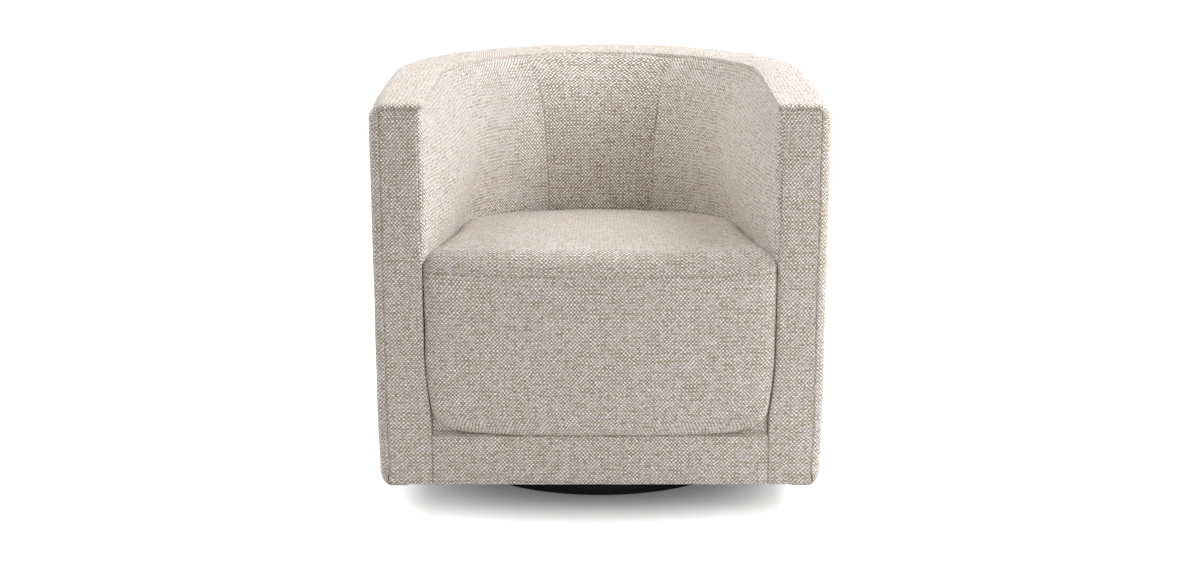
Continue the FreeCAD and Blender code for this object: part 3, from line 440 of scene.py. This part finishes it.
# The wall: the cloth turned under the frame, its round foot, and the taper above it
TURNED_UNDER = (0.052, 0.040, 0.028)
FOOT_WIDE = 0.020
FOOT_HIGH = 0.027
FOOT_TURN = 0.2
TAPER = 0.0025
TAPER_TOP = 0.170

# The band over the rim: its outer edge, its crown, and its roll down to the lining
BAND_SEAM_DEPTH = 0.5
EDGE = 0.028
EDGE_TURN = 0.16
FULLER_EDGE = 0.0045
FULLER_FROM, FULLER_FULL = 0.02, 0.16
CROWN = 0.005
CROWN_POWER = 0.7
CROWN_RUN = 0.35
RIM_ROLL = 0.006
RIM_PROUD = 0.0025
RIM_TURN = 0.25
RIM_ROLL_END = math.pi * 1.15
RIM_CENTRE = RIM_INNER + RIM_ROLL - RIM_PROUD

CORNER_SHARES = (0, 0.05, 0.1, 0.16, 0.22, 0.32, 0.45, 0.6, 0.75, 0.9)
NEAR_SHARES = (0, 0.25, 0.6, 1)
CORNER_COLUMNS = [("corner", share) for share in CORNER_SHARES]
CORNER_COLUMNS += [("near", share) for share in NEAR_SHARES]


def ray_to_corner(width, height, corner, angle):
    """Distance from a point to a rounded corner whose sides lie at a width and a height."""
    across, up = math.cos(angle), math.sin(angle)
    if width * up <= (height - corner) * across:
        return width / across
    if height * across <= (width - corner) * up:
        return height / up
    toward = (width - corner) * across + (height - corner) * up
    return toward + math.sqrt(corner ** 2 - (width - corner) ** 2 - (height - corner) ** 2 + toward ** 2)


def band_crown(offset):
    """How far the band's top swells between its outer edge and its inner roll."""
    share = (OUTER - offset) / (OUTER - RIM_CENTRE)
    return CROWN * math.sin(math.pi * min(1, max(0, share))) ** CROWN_POWER


class Row:
    """One line round the drum: its offset, its height, the way it faces, and its roundness at the front.

    edge is its distance from the seam between wall and band.
    """

    def __init__(self, offset, height, angle, round_front, edge=FAR, crown=0.0, fuller=0.0):
        self.offset, self.height = offset, height
        self.crown, self.fuller = crown, fuller
        self.across, self.up = math.cos(angle), math.sin(angle)
        self.round_front = round_front
        self.edge = edge

    def point(self, kind, place, seam=FAR):
        """A point of the row: in its front corner, near it, or at a run from the front."""
        fall = seam_fall(self.edge, BAND_SEAM_DEPTH)
        if kind == "corner":
            angle = place * math.pi / 2
            fall += seam_fall(angle * self.round_front)
            reach = -self.round_front * (1 - math.sin(angle)) - fall * math.sin(angle)
            ahead = FRONT + self.round_front * (1 - math.cos(angle)) + fall * math.cos(angle)
            return (self.offset + self.across * reach, ahead, self.height + self.up * reach)
        if kind == "near":
            place = lerp(self.round_front, CORNER_RUN, place)
        fall += seam_fall(seam) - self.fuller * ease(place, FULLER_FROM, FULLER_FULL)
        offset, height = self.offset - self.across * fall, self.height - self.up * fall
        height += self.crown * ease(place, 0, CROWN_RUN)
        if place <= STRAIGHT:
            return (offset, FRONT + place, height)
        angle = (place - STRAIGHT) / OUTER
        return (offset * math.cos(angle), CENTRE + offset * math.sin(angle), height)


def wall_foot_rows():
    """The turned-under edge of the wall and its round foot."""
    rows = [Row(OUTER - inset, FOOT, -QUARTER, FACE_FOOT_ROUND) for inset in TURNED_UNDER]
    for angle in spread(-QUARTER, 0, FOOT_TURN):
        facing = math.atan2(math.sin(angle) / FOOT_HIGH, math.cos(angle) / FOOT_WIDE)
        offset = OUTER - TAPER - FOOT_WIDE * (1 - math.cos(angle))
        height = FOOT + FOOT_HIGH * (1 + math.sin(angle))
        round_front = lerp(SIDE_ROUND, FACE_FOOT_ROUND, ease(-angle, 0, QUARTER))
        rows.append(Row(offset, height, facing, round_front, fuller=TAPER * math.cos(facing)))
    return rows


def wall_side_rows():
    """The wall from its foot up to the seam zone of the band."""
    rows = []
    for height in spread(FOOT + FOOT_HIGH + STEP, BAND_SEAM - SEAM_ZONE, STEP):
        drawn_in = TAPER * (1 - ease(height, FOOT + FOOT_HIGH, TAPER_TOP))
        rows.append(Row(OUTER - drawn_in, height, 0, SIDE_ROUND, fuller=drawn_in))
    return rows


def band_rows():
    """The band from its seam up round the edge, over the top and down its inner roll."""
    rows = [Row(OUTER, BAND_SEAM + place, 0, SIDE_ROUND, place) for place in SEAM_PLACES]
    for angle in spread(0, QUARTER, EDGE_TURN):
        face = ray_to_corner(FACE_SIDE - OUTER + EDGE, FACE_TOP - TOP + EDGE, FACE_CORNER, angle)
        offset = OUTER - EDGE * (1 - math.cos(angle))
        height = TOP - EDGE * (1 - math.sin(angle))
        fuller = FULLER_EDGE * math.sin(2 * angle)
        rows.append(Row(offset, height, angle, EDGE - face, crown=band_crown(offset), fuller=fuller))
    for offset in spread(OUTER - EDGE - STEP, RIM_CENTRE, STEP):
        rows.append(Row(offset, TOP, QUARTER, TOP - FACE_TOP, crown=band_crown(offset)))
    for angle in spread(QUARTER, RIM_ROLL_END, RIM_TURN)[1:]:
        offset = RIM_CENTRE + RIM_ROLL * math.cos(angle)
        rows.append(Row(offset, TOP - RIM_ROLL * (1 - math.sin(angle)), angle, TOP - FACE_TOP))
    return rows


wall_rows = wall_foot_rows() + wall_side_rows()
face_edge = [(row.offset - row.across * row.round_front, row.height - row.up * row.round_front)
             for row in wall_rows[len(TURNED_UNDER):]]
wall_rows += [Row(OUTER, BAND_SEAM - place, 0, SIDE_ROUND, place) for place in reversed(SEAM_PLACES)]

wall_stops = panel_stops(CORNER_RUN - SEAM_ZONE, WALL_SEAM)[len(SEAM_PLACES) + 1:]
right_wall = []
for row in wall_rows:
    line = [row.point(kind, place) for kind, place in CORNER_COLUMNS]
    line += [row.point("run", place, WALL_SEAM - place) for place in wall_stops]
    right_wall.append(line)
stretch(skin("outside_arm_right", right_wall, seed=2), ["outside_arm_cover_right"])
stretch(skin("outside_arm_left", mirror_grid(right_wall), seed=3), ["outside_arm_cover_left"])

back_end = 2 * BACK_MIDDLE - WALL_SEAM
back_wall = [[row.point("run", place, min(place - WALL_SEAM, back_end - place))
              for place in panel_stops(WALL_SEAM, back_end)] for row in wall_rows]
stretch(skin("outside_back", back_wall, seed=4), ["outside_back_cover"])

band_grid = []
for row in band_rows():
    half = [row.point(kind, place) for kind, place in CORNER_COLUMNS]
    half += [row.point("run", place) for place in spread(CORNER_RUN, BACK_MIDDLE, STEP)[1:]]
    band_grid.append(half + [(-x, y, z) for x, y, z in reversed(half[:-1])])
seat_on(skin("top_band", band_grid, seed=5), ["top_band_cover", "rim_padding"])


# Arm fronts: flat panels, rounded into the groove beside the seat, and sewn to the lining above it

RAIL_SEAM = 0.2946
ARM_EDGE = 0.3042
SEAT_LEVEL = 0.452
LINING_EDGE, LINING_EDGE_RISE = 0.0035, 0.05

# The groove beside the seat: it opens above the rail seam, widens, and closes at the seat's level
GROOVE = 0.0075
GROOVE_BACK = 0.018
GROOVE_NARROW = 0.3
GROOVE_OPENS = (0.155, 0.17)
GROOVE_WIDENS = (0.20, 0.30)
GROOVE_CLOSES = 0.02
RAIL_SEAM_DEPTH = 2.2
RAIL_SEAM_FADES = (0.150, 0.170)

# The seat's front narrows towards its foot
NARROWING, NARROWING_POWER = 0.011, 1.6
NARROW_FROM, NARROW_OVER = 0.30, 0.12

# The panel's edges: turned under at the foot and in beside the groove, and the stops across it
HEM_DEPTHS = (0.040, 0.022)
HEM_CLEARANCE = 0.0008
HEM_ROUND = 0.006
HEM_TURN = 0.35
ARM_LEAD = 0.010
INNER_DEPTHS = (0.034, 0.022, 0.012, 0.006)
INNER_CLEARANCE = 0.0004
PANEL_WIDE = 0.072
PANEL_LAST = 0.055


def arm_inner_edge(height):
    """The panel's inner edge follows the seat's side down to the rail seam."""
    return max(RAIL_SEAM, ARM_EDGE - seat_narrowing(height))


def seat_narrowing(height):
    """How much narrower the seat's front is than at its top."""
    return NARROWING * (max(0, NARROW_FROM - height) / NARROW_OVER) ** NARROWING_POWER


def arm_outer_edge(height):
    """The panel's outer edge meets the wall's rounded front corner."""
    above = height - (FACE_TOP - FACE_CORNER)
    if height <= TAPER_TOP:
        for (low_x, low), (high_x, high) in zip(face_edge, face_edge[1:]):
            if height <= high:
                return lerp(low_x, high_x, max(0, (height - low) / (high - low)))
    if above <= 0:
        return FACE_SIDE
    return FACE_SIDE - FACE_CORNER + math.sqrt(max(0, FACE_CORNER ** 2 - above ** 2))


def arm_line(back, height):
    """One line across the right arm's front, from inside its groove to its outer seam."""
    inner, outer = arm_inner_edge(height), arm_outer_edge(height)
    inner += LINING_EDGE * ease(height, SEAT_LEVEL, SEAT_LEVEL + LINING_EDGE_RISE)
    inner_depth = lerp(RAIL_SEAM_DEPTH, 1, ease(height, *RAIL_SEAM_FADES))
    opened = lerp(GROOVE_NARROW, 1, ease(height, *GROOVE_WIDENS)) * ease(height, *GROOVE_OPENS)
    opened *= 1 - ease(height, SEAT_LEVEL - GROOVE_CLOSES, SEAT_LEVEL + GROOVE_CLOSES)
    top_fall = seam_fall(FACE_TOP - height)
    line = []
    for place in INNER_DEPTHS:
        line.append((inner + INNER_CLEARANCE, FRONT + back + GROOVE * opened + place, height))
    for place in SEAM_PLACES[1:] + tuple(spread(SEAM_ZONE, PANEL_LAST, PANEL_STEP)):
        sewn = seam_fall(place, inner_depth) * (1 - opened) + oval_roll(place, GROOVE, GROOVE) * opened
        x = inner + place * (outer - inner) / PANEL_WIDE
        line.append((x, FRONT + back + sewn + top_fall, height))
    for place in reversed(SEAM_PLACES):
        x = outer - place * (outer - inner) / PANEL_WIDE
        line.append((x, FRONT + back + seam_fall(place) + top_fall, height))
    return line


hem_rows = [(back, FOOT + HEM_CLEARANCE) for back in HEM_DEPTHS]
for angle in spread(0, QUARTER, HEM_TURN):
    rise = HEM_ROUND * (1 - math.cos(angle))
    hem_rows.append((HEM_ROUND * (1 - math.sin(angle)), FOOT + HEM_CLEARANCE + rise))
arm_heights = panel_stops(FOOT - ARM_LEAD, FACE_TOP)[len(SEAM_PLACES) + 2:]
arm_rows = hem_rows + [(0, height) for height in arm_heights]
arm_front = [arm_line(back, height) for back, height in arm_rows]
right_front = skin("arm_front_right", arm_front, seed=6)
seat_on(right_front, ["arm_front_cover_right", "arm_front_pad_right"])
left_front = skin("arm_front_left", mirror_grid(arm_front), seed=7)
seat_on(left_front, ["arm_front_cover_left", "arm_front_pad_left"])


# Rail panel below the seat, turned under the frame

RAIL_HALF = RAIL_SEAM + 0.0007
RAIL_START = FOOT + 0.012
RAIL_BEND = (0.146, 0.148)
RAIL_TOP = 0.196
RAIL_FINE_STEP = 0.002
RECESS = 0.013
RECESS_RISE = (0.147, 0.157)
RECESS_ENDS = (0.235, 0.275)
RECESS_LESS = 0.3


def rail_recess(x, height):
    """How far the panel lies back behind the seat: less at its two ends, where the seat's corners are."""
    return RECESS * ease(height, *RECESS_RISE) * (1 - RECESS_LESS * ease(abs(x), *RECESS_ENDS))


def rail_line(back, height):
    """One line across the rail panel."""
    line = []
    for x in panel_stops(-RAIL_HALF, RAIL_HALF):
        sewn = seam_fall(RAIL_SEAM - abs(x), RAIL_SEAM_DEPTH)
        line.append((x, FRONT + back + rail_recess(x, height) + sewn, height))
    return line


rail_heights = spread(RAIL_START, RAIL_BEND[0], STEP) + spread(RAIL_BEND[1], RAIL_TOP, RAIL_FINE_STEP)
rail_rows = [row for row in arm_rows if row[0] > 0] + [(0, height) for height in rail_heights]
rail = [rail_line(back, height) for back, height in rail_rows]
seat_on(skin("rail_front", rail, seed=8), ["front_rail_cover", "front_rail_pad"])


# Inside lining: the arms swell inwards below the rim and narrow again at the waist

WAIST = 0.445
RIM_LEVEL = 0.7305
LINING_FOOT = 0.330
LINING_ROLL = 0.008
LINING_START = 0.0006
LINING_START_BLEND = 0.015
BACK_SEAM_DEPTH = 0.55
FRONT_ROLL_WIDE, FRONT_ROLL_DEEP = 0.014, 0.010

# The lining's plan at the waist and at the rim, and what the belly between them adds
WAIST_SWELL, RIM_SWELL, BELLY_SWELL = 0.033, 0.002, 0.043
WAIST_TURN, BELLY_TURN = 0.020, 0.045
WAIST_SEAM, SEAM_SPREAD, SEAM_FLARE, FLARE_POWER = 0.104, 0.012, 0.036, 6
WAIST_BACK, RIM_BACK_HALF, BACK_SWELL = 0.200, 0.157, 0.010


def lining(height):
    """Half width, turning place, back seam and its depth at a height."""
    share = min(1, max(0, (height - WAIST) / (RIM_LEVEL - WAIST)))
    arch = math.sin(math.pi * share)
    swell = WAIST_SWELL * (1 - share) + RIM_SWELL * share + BELLY_SWELL * arch
    turn = WAIST_TURN * (1 - share) + CENTRE * share + BELLY_TURN * arch
    seam = WAIST_SEAM + SEAM_SPREAD * share + SEAM_FLARE * share ** FLARE_POWER
    rim_back = CENTRE + math.sqrt(RIM_INNER ** 2 - RIM_BACK_HALF ** 2)
    seam_back = WAIST_BACK * (1 - share) + rim_back * share - BACK_SWELL * arch
    return RIM_INNER - swell, turn, seam, seam_back


def side_curve(height):
    """Plan points of the inside of the right arm, from its front edge to the back seam."""
    half, turn, seam, seam_back = lining(height)
    bend = arc_radius(RIM_INNER - half, turn - FRONT)
    above_seat = ease(height, SEAT_LEVEL - LINING_START_BLEND, SEAT_LEVEL + LINING_START_BLEND)
    start = FRONT + lerp(GROOVE_BACK, LINING_START, above_seat)
    points = []
    for y in spread(start, turn, FINE_STEP):
        points.append((half + bend - math.sqrt(bend ** 2 - (turn - y) ** 2), y))
    corner = arc_radius(half - seam, seam_back - turn)
    middle = half - corner
    end = math.atan2(seam_back - turn, seam - middle)
    for angle in spread(0, end, FINE_STEP / corner)[1:]:
        points.append((middle + corner * math.cos(angle), turn + corner * math.sin(angle)))
    return points


def back_curve(height):
    """Plan points of the centre back, from the right seam to the left one."""
    half, turn, seam, seam_back = lining(height)
    along = seam_back - turn
    corner = arc_radius(half - seam, along)
    spread_out = seam - (half - corner)
    radius = corner * seam / spread_out
    middle = turn - (half - corner) * along / spread_out
    end = math.asin(seam / radius)
    angles = spread(end, -end, FINE_STEP / radius)
    return [(radius * math.sin(angle), middle + radius * math.cos(angle)) for angle in angles]


def resample(points, shares):
    """Points at shares of a curve's length, each with its direction, its run and the whole length."""
    lengths = [0]
    for before, after in zip(points, points[1:]):
        lengths.append(lengths[-1] + math.dist(before, after))
    found = []
    for share in shares:
        goal = share * lengths[-1]
        index = next(i for i in range(1, len(points)) if lengths[i] >= goal - LEAST_LENGTH)
        part = (goal - lengths[index - 1]) / (lengths[index] - lengths[index - 1])
        x = lerp(points[index - 1][0], points[index][0], part)
        y = lerp(points[index - 1][1], points[index][1], part)
        across = points[index][0] - points[index - 1][0]
        ahead = points[index][1] - points[index - 1][1]
        size = math.hypot(across, ahead)
        found.append((x, y, across / size, ahead / size, goal, lengths[-1]))
    return found


def lining_grid(curve, soft_front):
    """The lining through a plan curve at each height, with a soft roll at its front edge or a seam."""
    total_length = resample(curve(WAIST), [1])[0][5]
    stops = panel_stops(0, total_length, PANEL_STEP)
    if soft_front:
        stops.insert(len(SEAM_PLACES), FRONT_ROLL_WIDE)
    shares = [stop / total_length for stop in stops]
    heights = spread(LINING_FOOT, RIM_LEVEL - SEAM_ZONE, STEP)
    heights += [RIM_LEVEL - place for place in reversed(SEAM_PLACES)]
    grid = []
    for height in heights:
        line = []
        for x, y, across, ahead, run, total in resample(curve(height), shares):
            if soft_front:
                first = oval_roll(run, FRONT_ROLL_WIDE, FRONT_ROLL_DEEP)
            else:
                first = seam_fall(run, BACK_SEAM_DEPTH)
            fall = first + seam_fall(total - run, BACK_SEAM_DEPTH) + roll(RIM_LEVEL - height, LINING_ROLL)
            line.append((x + ahead * fall, y - across * fall, height))
        grid.append(line)
    return grid


def facing_seat(grid):
    """The same surface, facing inwards."""
    return [list(reversed(line)) for line in grid]


# The inside pieces wear the copies of the cloth with painted light and shade
side_lining = lining_grid(side_curve, True)
right_lining = skin("inside_arm_right", facing_seat(side_lining), seed=9, waves=ARM_WAVES)
seat_on(right_lining, ["inside_arm_cushion_right"], arm_lining_painted_light_cloth)
left_lining = skin("inside_arm_left", facing_seat(mirror_grid(side_lining)), seed=10, waves=ARM_WAVES)
seat_on(left_lining, ["inside_arm_cushion_left"], arm_lining_painted_light_cloth)
back_lining = skin("inside_back", facing_seat(lining_grid(back_curve, False)), seed=11, waves=BACK_WAVES)
seat_on(back_lining, ["inside_back_cushion"], back_lining_painted_light_cloth)


# Seat: a boxed cushion with a rounded nose, a seam across its front and a crowned top

SEAT_FRONT = -0.398
SEAT_FOOT = 0.152
SEAT_TOP = 0.479
SEAT_BACK_TOP = 0.424
SEAT_BACK = 0.204
SEAT_FALL_POWER = 1.35
SEAT_SEAM = 0.4435
SEAT_SEAM_DEPTH = 0.55
SEAT_HALF = 0.3035
SEAT_CORNER = 0.048
WIDENS_TO_FACE = (0.30, 0.39)

# Its side view: the edge turned under, the round foot, the face and the nose
SEAT_HEM = (0.050, 0.034, 0.022)
SEAT_FOOT_WIDE, SEAT_FOOT_HIGH, SEAT_FOOT_TURN = 0.014, 0.018, 0.22
SEAT_FACE_START = 0.025
NOSE = 0.033
NOSE_HIGH = 0.027
NOSE_START = 0.08

# Its sides, on the face and on the top, and how far they turn down
SIDE_WIDE, CORNER_WIDE, TOP_SIDE_WIDE = 0.038, 0.018, 0.034
SIDE_DEEP, TOP_SIDE_DEEP = 0.0135, 0.022
CORNER_TO_SIDE = (0.180, 0.260)
SIDE_DROPS = ((0.0005, 0.030), (0, 0.012))

# Its swell: the crown of the top, the fuller face, the curved foot and the sag at the seam
SEAT_CROWN, CROWN_REACH = 0.006, 0.15
FACE_SWELL = 0.003
FOOT_CURVE, FOOT_CURVE_HIGH = 0.006, 0.04
SEAM_SAG = 0.007
SEAM_REACH = 0.030
FACE_LIMIT = SEAT_FRONT + 0.001
LINE_POINTS = 110


def seat_profile():
    """Side view from under the front edge, up the face, over the nose and back to the lining."""
    points = [(SEAT_FRONT + depth, SEAT_FOOT) for depth in SEAT_HEM]
    for angle in spread(0, QUARTER, SEAT_FOOT_TURN):
        y = SEAT_FRONT + SEAT_FOOT_WIDE * (1 - math.sin(angle))
        points.append((y, SEAT_FOOT + SEAT_FOOT_HIGH * (1 - math.cos(angle))))
    heights = spread(SEAT_FOOT + SEAT_FACE_START, SEAT_SEAM - SEAM_ZONE, STEP)
    heights += [SEAT_SEAM - place for place in reversed(SEAM_PLACES[1:])]
    heights += [SEAT_SEAM + place for place in SEAM_PLACES[1:-1]]
    points += [(SEAT_FRONT, height) for height in heights]
    for angle in spread(NOSE_START, QUARTER, EDGE_TURN):
        y = SEAT_FRONT + NOSE * (1 - math.cos(angle))
        points.append((y, SEAT_TOP - NOSE_HIGH * (1 - math.sin(angle))))
    start = SEAT_FRONT + NOSE
    for y in spread(start + STEP, SEAT_BACK, STEP):
        share = (y - start) / (SEAT_BACK - start)
        points.append((y, SEAT_TOP - (SEAT_TOP - SEAT_BACK_TOP) * share ** SEAT_FALL_POWER))
    return points


def seat_half(y, height):
    """Half width of the seat at a place on its side view."""
    half, turn, seam, seam_back = lining(WAIST)
    if y <= turn:
        bend = arc_radius(RIM_INNER - half, turn - FRONT)
        width = half + bend - math.sqrt(bend ** 2 - (turn - max(y, FRONT)) ** 2)
    else:
        corner = arc_radius(half - seam, seam_back - turn)
        width = half - corner + math.sqrt(max(0, corner ** 2 - (y - turn) ** 2))
    width = lerp(width, SEAT_HALF, ease(-y, *WIDENS_TO_FACE))
    width -= seat_narrowing(height)
    if height < SEAT_FOOT + SEAT_CORNER:
        low = SEAT_FOOT + SEAT_CORNER - height
        width -= SEAT_CORNER - math.sqrt(max(0, SEAT_CORNER ** 2 - low ** 2))
    return width


def seat_columns(half, wide, deep):
    """Places across the seat, each with how far its surface drops at the rounded sides."""
    side = [(half - inward, deep + drop) for inward, drop in SIDE_DROPS]
    for angle in spread(0, QUARTER, EDGE_TURN):
        distance = wide * (1 - math.cos(angle))
        side.append((half - distance, oval_roll(distance, wide, deep)))
    middle = [(x, 0) for x in spread(half - wide - STEP, -half + wide + STEP, STEP)]
    return side + middle + [(-x, drop) for x, drop in reversed(side)]


def seat_line(profile, index):
    """One line across the seat, from its right side to its left, in evenly spaced points."""
    y, z = profile[index]
    before, after = profile[max(0, index - 1)], profile[min(len(profile) - 1, index + 1)]
    step_y, step_z = after[0] - before[0], after[1] - before[1]
    size = math.hypot(step_y, step_z)
    out_y, out_z = -step_z / size, step_y / size
    half = seat_half(y, z)
    on_face = 1 - ease(y, SEAT_FRONT, SEAT_FRONT + NOSE)
    face_wide = lerp(CORNER_WIDE, SIDE_WIDE, ease(z, *CORNER_TO_SIDE))
    wide, deep = lerp(TOP_SIDE_WIDE, face_wide, on_face), lerp(TOP_SIDE_DEEP, SIDE_DEEP, on_face)
    crown = SEAT_CROWN * ease(y, SEAT_FRONT, SEAT_FRONT + CROWN_REACH)
    foot_curve = FOOT_CURVE * (1 - ease(z, SEAT_FOOT, SEAT_FOOT + FOOT_CURVE_HIGH)) * on_face
    groove = seam_fall(abs(z - SEAT_SEAM), SEAT_SEAM_DEPTH) if y < FACE_LIMIT else 0
    sag = SEAM_SAG * math.exp(-((z - SEAT_SEAM) / SEAM_REACH) ** 2) * on_face
    line = []
    for x, drop in seat_columns(half, wide, deep):
        centre = 1 - (x / half) ** 2
        lift = crown * centre - drop - groove + FACE_SWELL * on_face * centre
        line.append((x, y + out_y * lift, z + out_z * lift + foot_curve * (x / half) ** 4 - sag * centre))
    return even_line(line, LINE_POINTS)


def even_line(points, count):
    """The same line with a set number of points, evenly spaced."""
    lengths = running_lengths(points)
    found, index = [], 1
    for step in range(count):
        goal = lengths[-1] * step / (count - 1)
        while index < len(points) - 1 and lengths[index] < goal:
            index += 1
        part = (goal - lengths[index - 1]) / max(LEAST_LENGTH, lengths[index] - lengths[index - 1])
        found.append(tuple(Vector(points[index - 1]).lerp(Vector(points[index]), part)))
    return found


profile_points = seat_profile()
seam_index = next(i for i, (y, z) in enumerate(profile_points) if z > SEAT_SEAM)
seat_lines = [list(reversed(seat_line(profile_points, index))) for index in range(len(profile_points))]
seat_face = skin("seat_face", seat_lines[:seam_index + 1], seed=12, waves=FACE_WAVES)
seat_on(seat_face, ["seat_front_cover"])
seat_top = skin("seat_top", seat_lines[seam_index:], seed=13, waves=SEAT_WAVES)
seat_on(seat_top, ["seat_top_cover", "seat_foam"])


# Solids that stay: frame, webbing, padding and the swivel base

EVEN_GRAIN = (1, 1, 1)
DEEP_GRAIN, FINE_GRAIN = 0.001, 0.0002

timber = grained("bare_timber", srgb(206, 172, 128), srgb(158, 119, 78), 3.0, (22, 4, 22))
plywood = grained("plywood", srgb(203, 166, 118), srgb(146, 108, 70), 4.0, (6, 6, 90))
board = grained("fibre_board", srgb(142, 112, 82), srgb(110, 84, 60), 60.0, EVEN_GRAIN, 0.85)
webbing = grained("jute_webbing", srgb(170, 146, 108), srgb(118, 96, 66), 40.0, (6, 1, 1), 0.95, DEEP_GRAIN)
black_cloth = grained("black_lining", srgb(34, 34, 35), srgb(14, 14, 15), 260.0, EVEN_GRAIN, 0.95)
felt = grained("grey_felt", srgb(128, 124, 120), srgb(92, 90, 88), 180.0, EVEN_GRAIN, 0.98, DEEP_GRAIN)
black_paint = grained("black_painted_disc", srgb(16, 18, 17), srgb(9, 11, 10), 90.0, (1, 1, 0.3), 0.5,
                      FINE_GRAIN, Specular_IOR_Level=0.2)
plastic = grained("black_plastic", srgb(44, 44, 45), srgb(30, 30, 31), 120.0, EVEN_GRAIN, 0.55, FINE_GRAIN)
zinc = grained("zinc_plate", srgb(188, 190, 192), srgb(142, 145, 149), 26.0, (1, 8, 1), 0.34,
               FINE_GRAIN, Metallic=1.0)

for names, material in (
    (("front_bottom_rail", "front_seat_rail", "right_arm_post", "left_arm_post", "back_posts",
      "swivel_cross_rails", "corner_blocks"), timber),
    (("bottom_hoop", "seat_hoop", "top_hoop"), plywood),
    (("outer_board",), board),
    (("seat_webbing_long", "seat_webbing_cross", "back_webbing"), webbing),
    (("dust_cover",), black_cloth),
    (("seat_deck_pad",), felt),
    (("base_disc",), black_paint),
    (("floor_glides", "roller_cage"), plastic),
    (("lower_swivel_plate", "upper_swivel_plate", "lower_plate_screws", "upper_plate_screws",
      "swivel_kingpin", "bearing_rollers"), zinc),
):
    for name in names:
        dress(name, material)


# Floor: it keeps the chair's shadow close under it; further out a glow that only the camera and reflections
# see paints it white, painting over the lamps' shadow there

FLOOR_SIZE = 40
# The painted glow: faint under the chair, where it lightens the shadow a little, and full further out
LIFT_FROM, LIFT_FULL = 0.26, 0.60
LIFT_LEAST, LIFT_MOST = 0.11, 0.76

floor_graph = Graph("pale_floor")
floor_graph.finish(srgb(244, 244, 244), Roughness=0.9, Specular_IOR_Level=0.1)
path = floor_graph.add("ShaderNodeLightPath")
glow = floor_graph.add("ShaderNodeEmission", {"Color": WHITE})
through = floor_graph.math("MAXIMUM", path.outputs["Is Glossy Ray"], path.outputs["Is Transmission Ray"])
seen = floor_graph.math("MAXIMUM", path.outputs["Is Camera Ray"], through)
place = floor_graph.add("ShaderNodeTexCoord").outputs["Object"]
distance = floor_graph.add("ShaderNodeVectorMath", {0: place}, operation="LENGTH").outputs["Value"]
lift_range = {"Value": distance, "From Min": LIFT_FROM, "From Max": LIFT_FULL,
              "To Min": LIFT_LEAST, "To Max": LIFT_MOST}
lift = floor_graph.add("ShaderNodeMapRange", lift_range, interpolation_type="SMOOTHSTEP")
floor_graph.feed(glow.inputs["Strength"], floor_graph.math("MULTIPLY", seen, lift.outputs[0]))
both = floor_graph.add("ShaderNodeAddShader")
floor_graph.feed(both.inputs[0], floor_graph.shader.outputs[0])
floor_graph.feed(both.inputs[1], glow.outputs[0])
floor_graph.feed(floor_graph.tree.nodes["Material Output"].inputs["Surface"], both.outputs[0])

bpy.ops.mesh.primitive_plane_add(size=FLOOR_SIZE, location=(0, 0, 0))
floor = bpy.context.object
floor.name = "floor"
floor.data.materials.append(floor_graph.material)


# World: white where it is seen or mirrored, and dimmer as a light

WORLD_LIGHT = 0.29

world = bpy.data.worlds.new("studio")
bpy.context.scene.world = world
world.use_nodes = True
nodes, links = world.node_tree.nodes, world.node_tree.links
background = nodes["Background"]
background.inputs["Color"].default_value = WHITE
world_path = nodes.new("ShaderNodeLightPath")
direct = nodes.new("ShaderNodeMath")
direct.operation = "MAXIMUM"
links.new(world_path.outputs["Is Camera Ray"], direct.inputs[0])
links.new(world_path.outputs["Is Glossy Ray"], direct.inputs[1])
level = nodes.new("ShaderNodeMapRange")
level.inputs["To Min"].default_value = WORLD_LIGHT
level.inputs["To Max"].default_value = 1.0
links.new(direct.outputs[0], level.inputs["Value"])
links.new(level.outputs[0], background.inputs["Strength"])


# Lamps, all turned to the middle of the chair

LAMP_TARGET = (0, 0, 0.5)


def lamp(name, place, size, power, colour=(1, 1, 1)):
    data = bpy.data.lights.new(name, "AREA")
    data.color = colour
    data.shape = "SQUARE"
    data.size = size
    data.energy = power
    made = bpy.data.objects.new(name, data)
    made.location = place
    made.rotation_euler = (Vector(LAMP_TARGET) - Vector(place)).to_track_quat("-Z", "Y").to_euler()
    bpy.context.collection.objects.link(made)


lamp("key", (1.7, 0.25, 2.3), 1.3, 57, (0.98, 1.0, 1.04))
lamp("side", (2.4, -0.9, 1.3), 1.4, 25)
lamp("left", (-1.7, 0.3, 2.4), 1.8, 49)
lamp("front", (1.3, -2.2, 2.0), 1.5, 16)


# Camera, as it was fitted to the photograph

CAMERA_PLACE = (0.0, -3.521, 1.221)
PITCH_DOWN = math.radians(14.4)
FOCAL_PIXELS = 1885
IMAGE_WIDTH = 1200
SENSOR_WIDTH = 36

camera_data = bpy.data.cameras.new("camera")
camera_data.sensor_width = SENSOR_WIDTH
camera_data.lens = SENSOR_WIDTH * FOCAL_PIXELS / IMAGE_WIDTH
camera = bpy.data.objects.new("camera", camera_data)
camera.location = CAMERA_PLACE
camera.rotation_euler = (QUARTER - PITCH_DOWN, 0, 0)
bpy.context.collection.objects.link(camera)
bpy.context.scene.camera = camera
bpy.context.scene.view_settings.view_transform = "Standard"
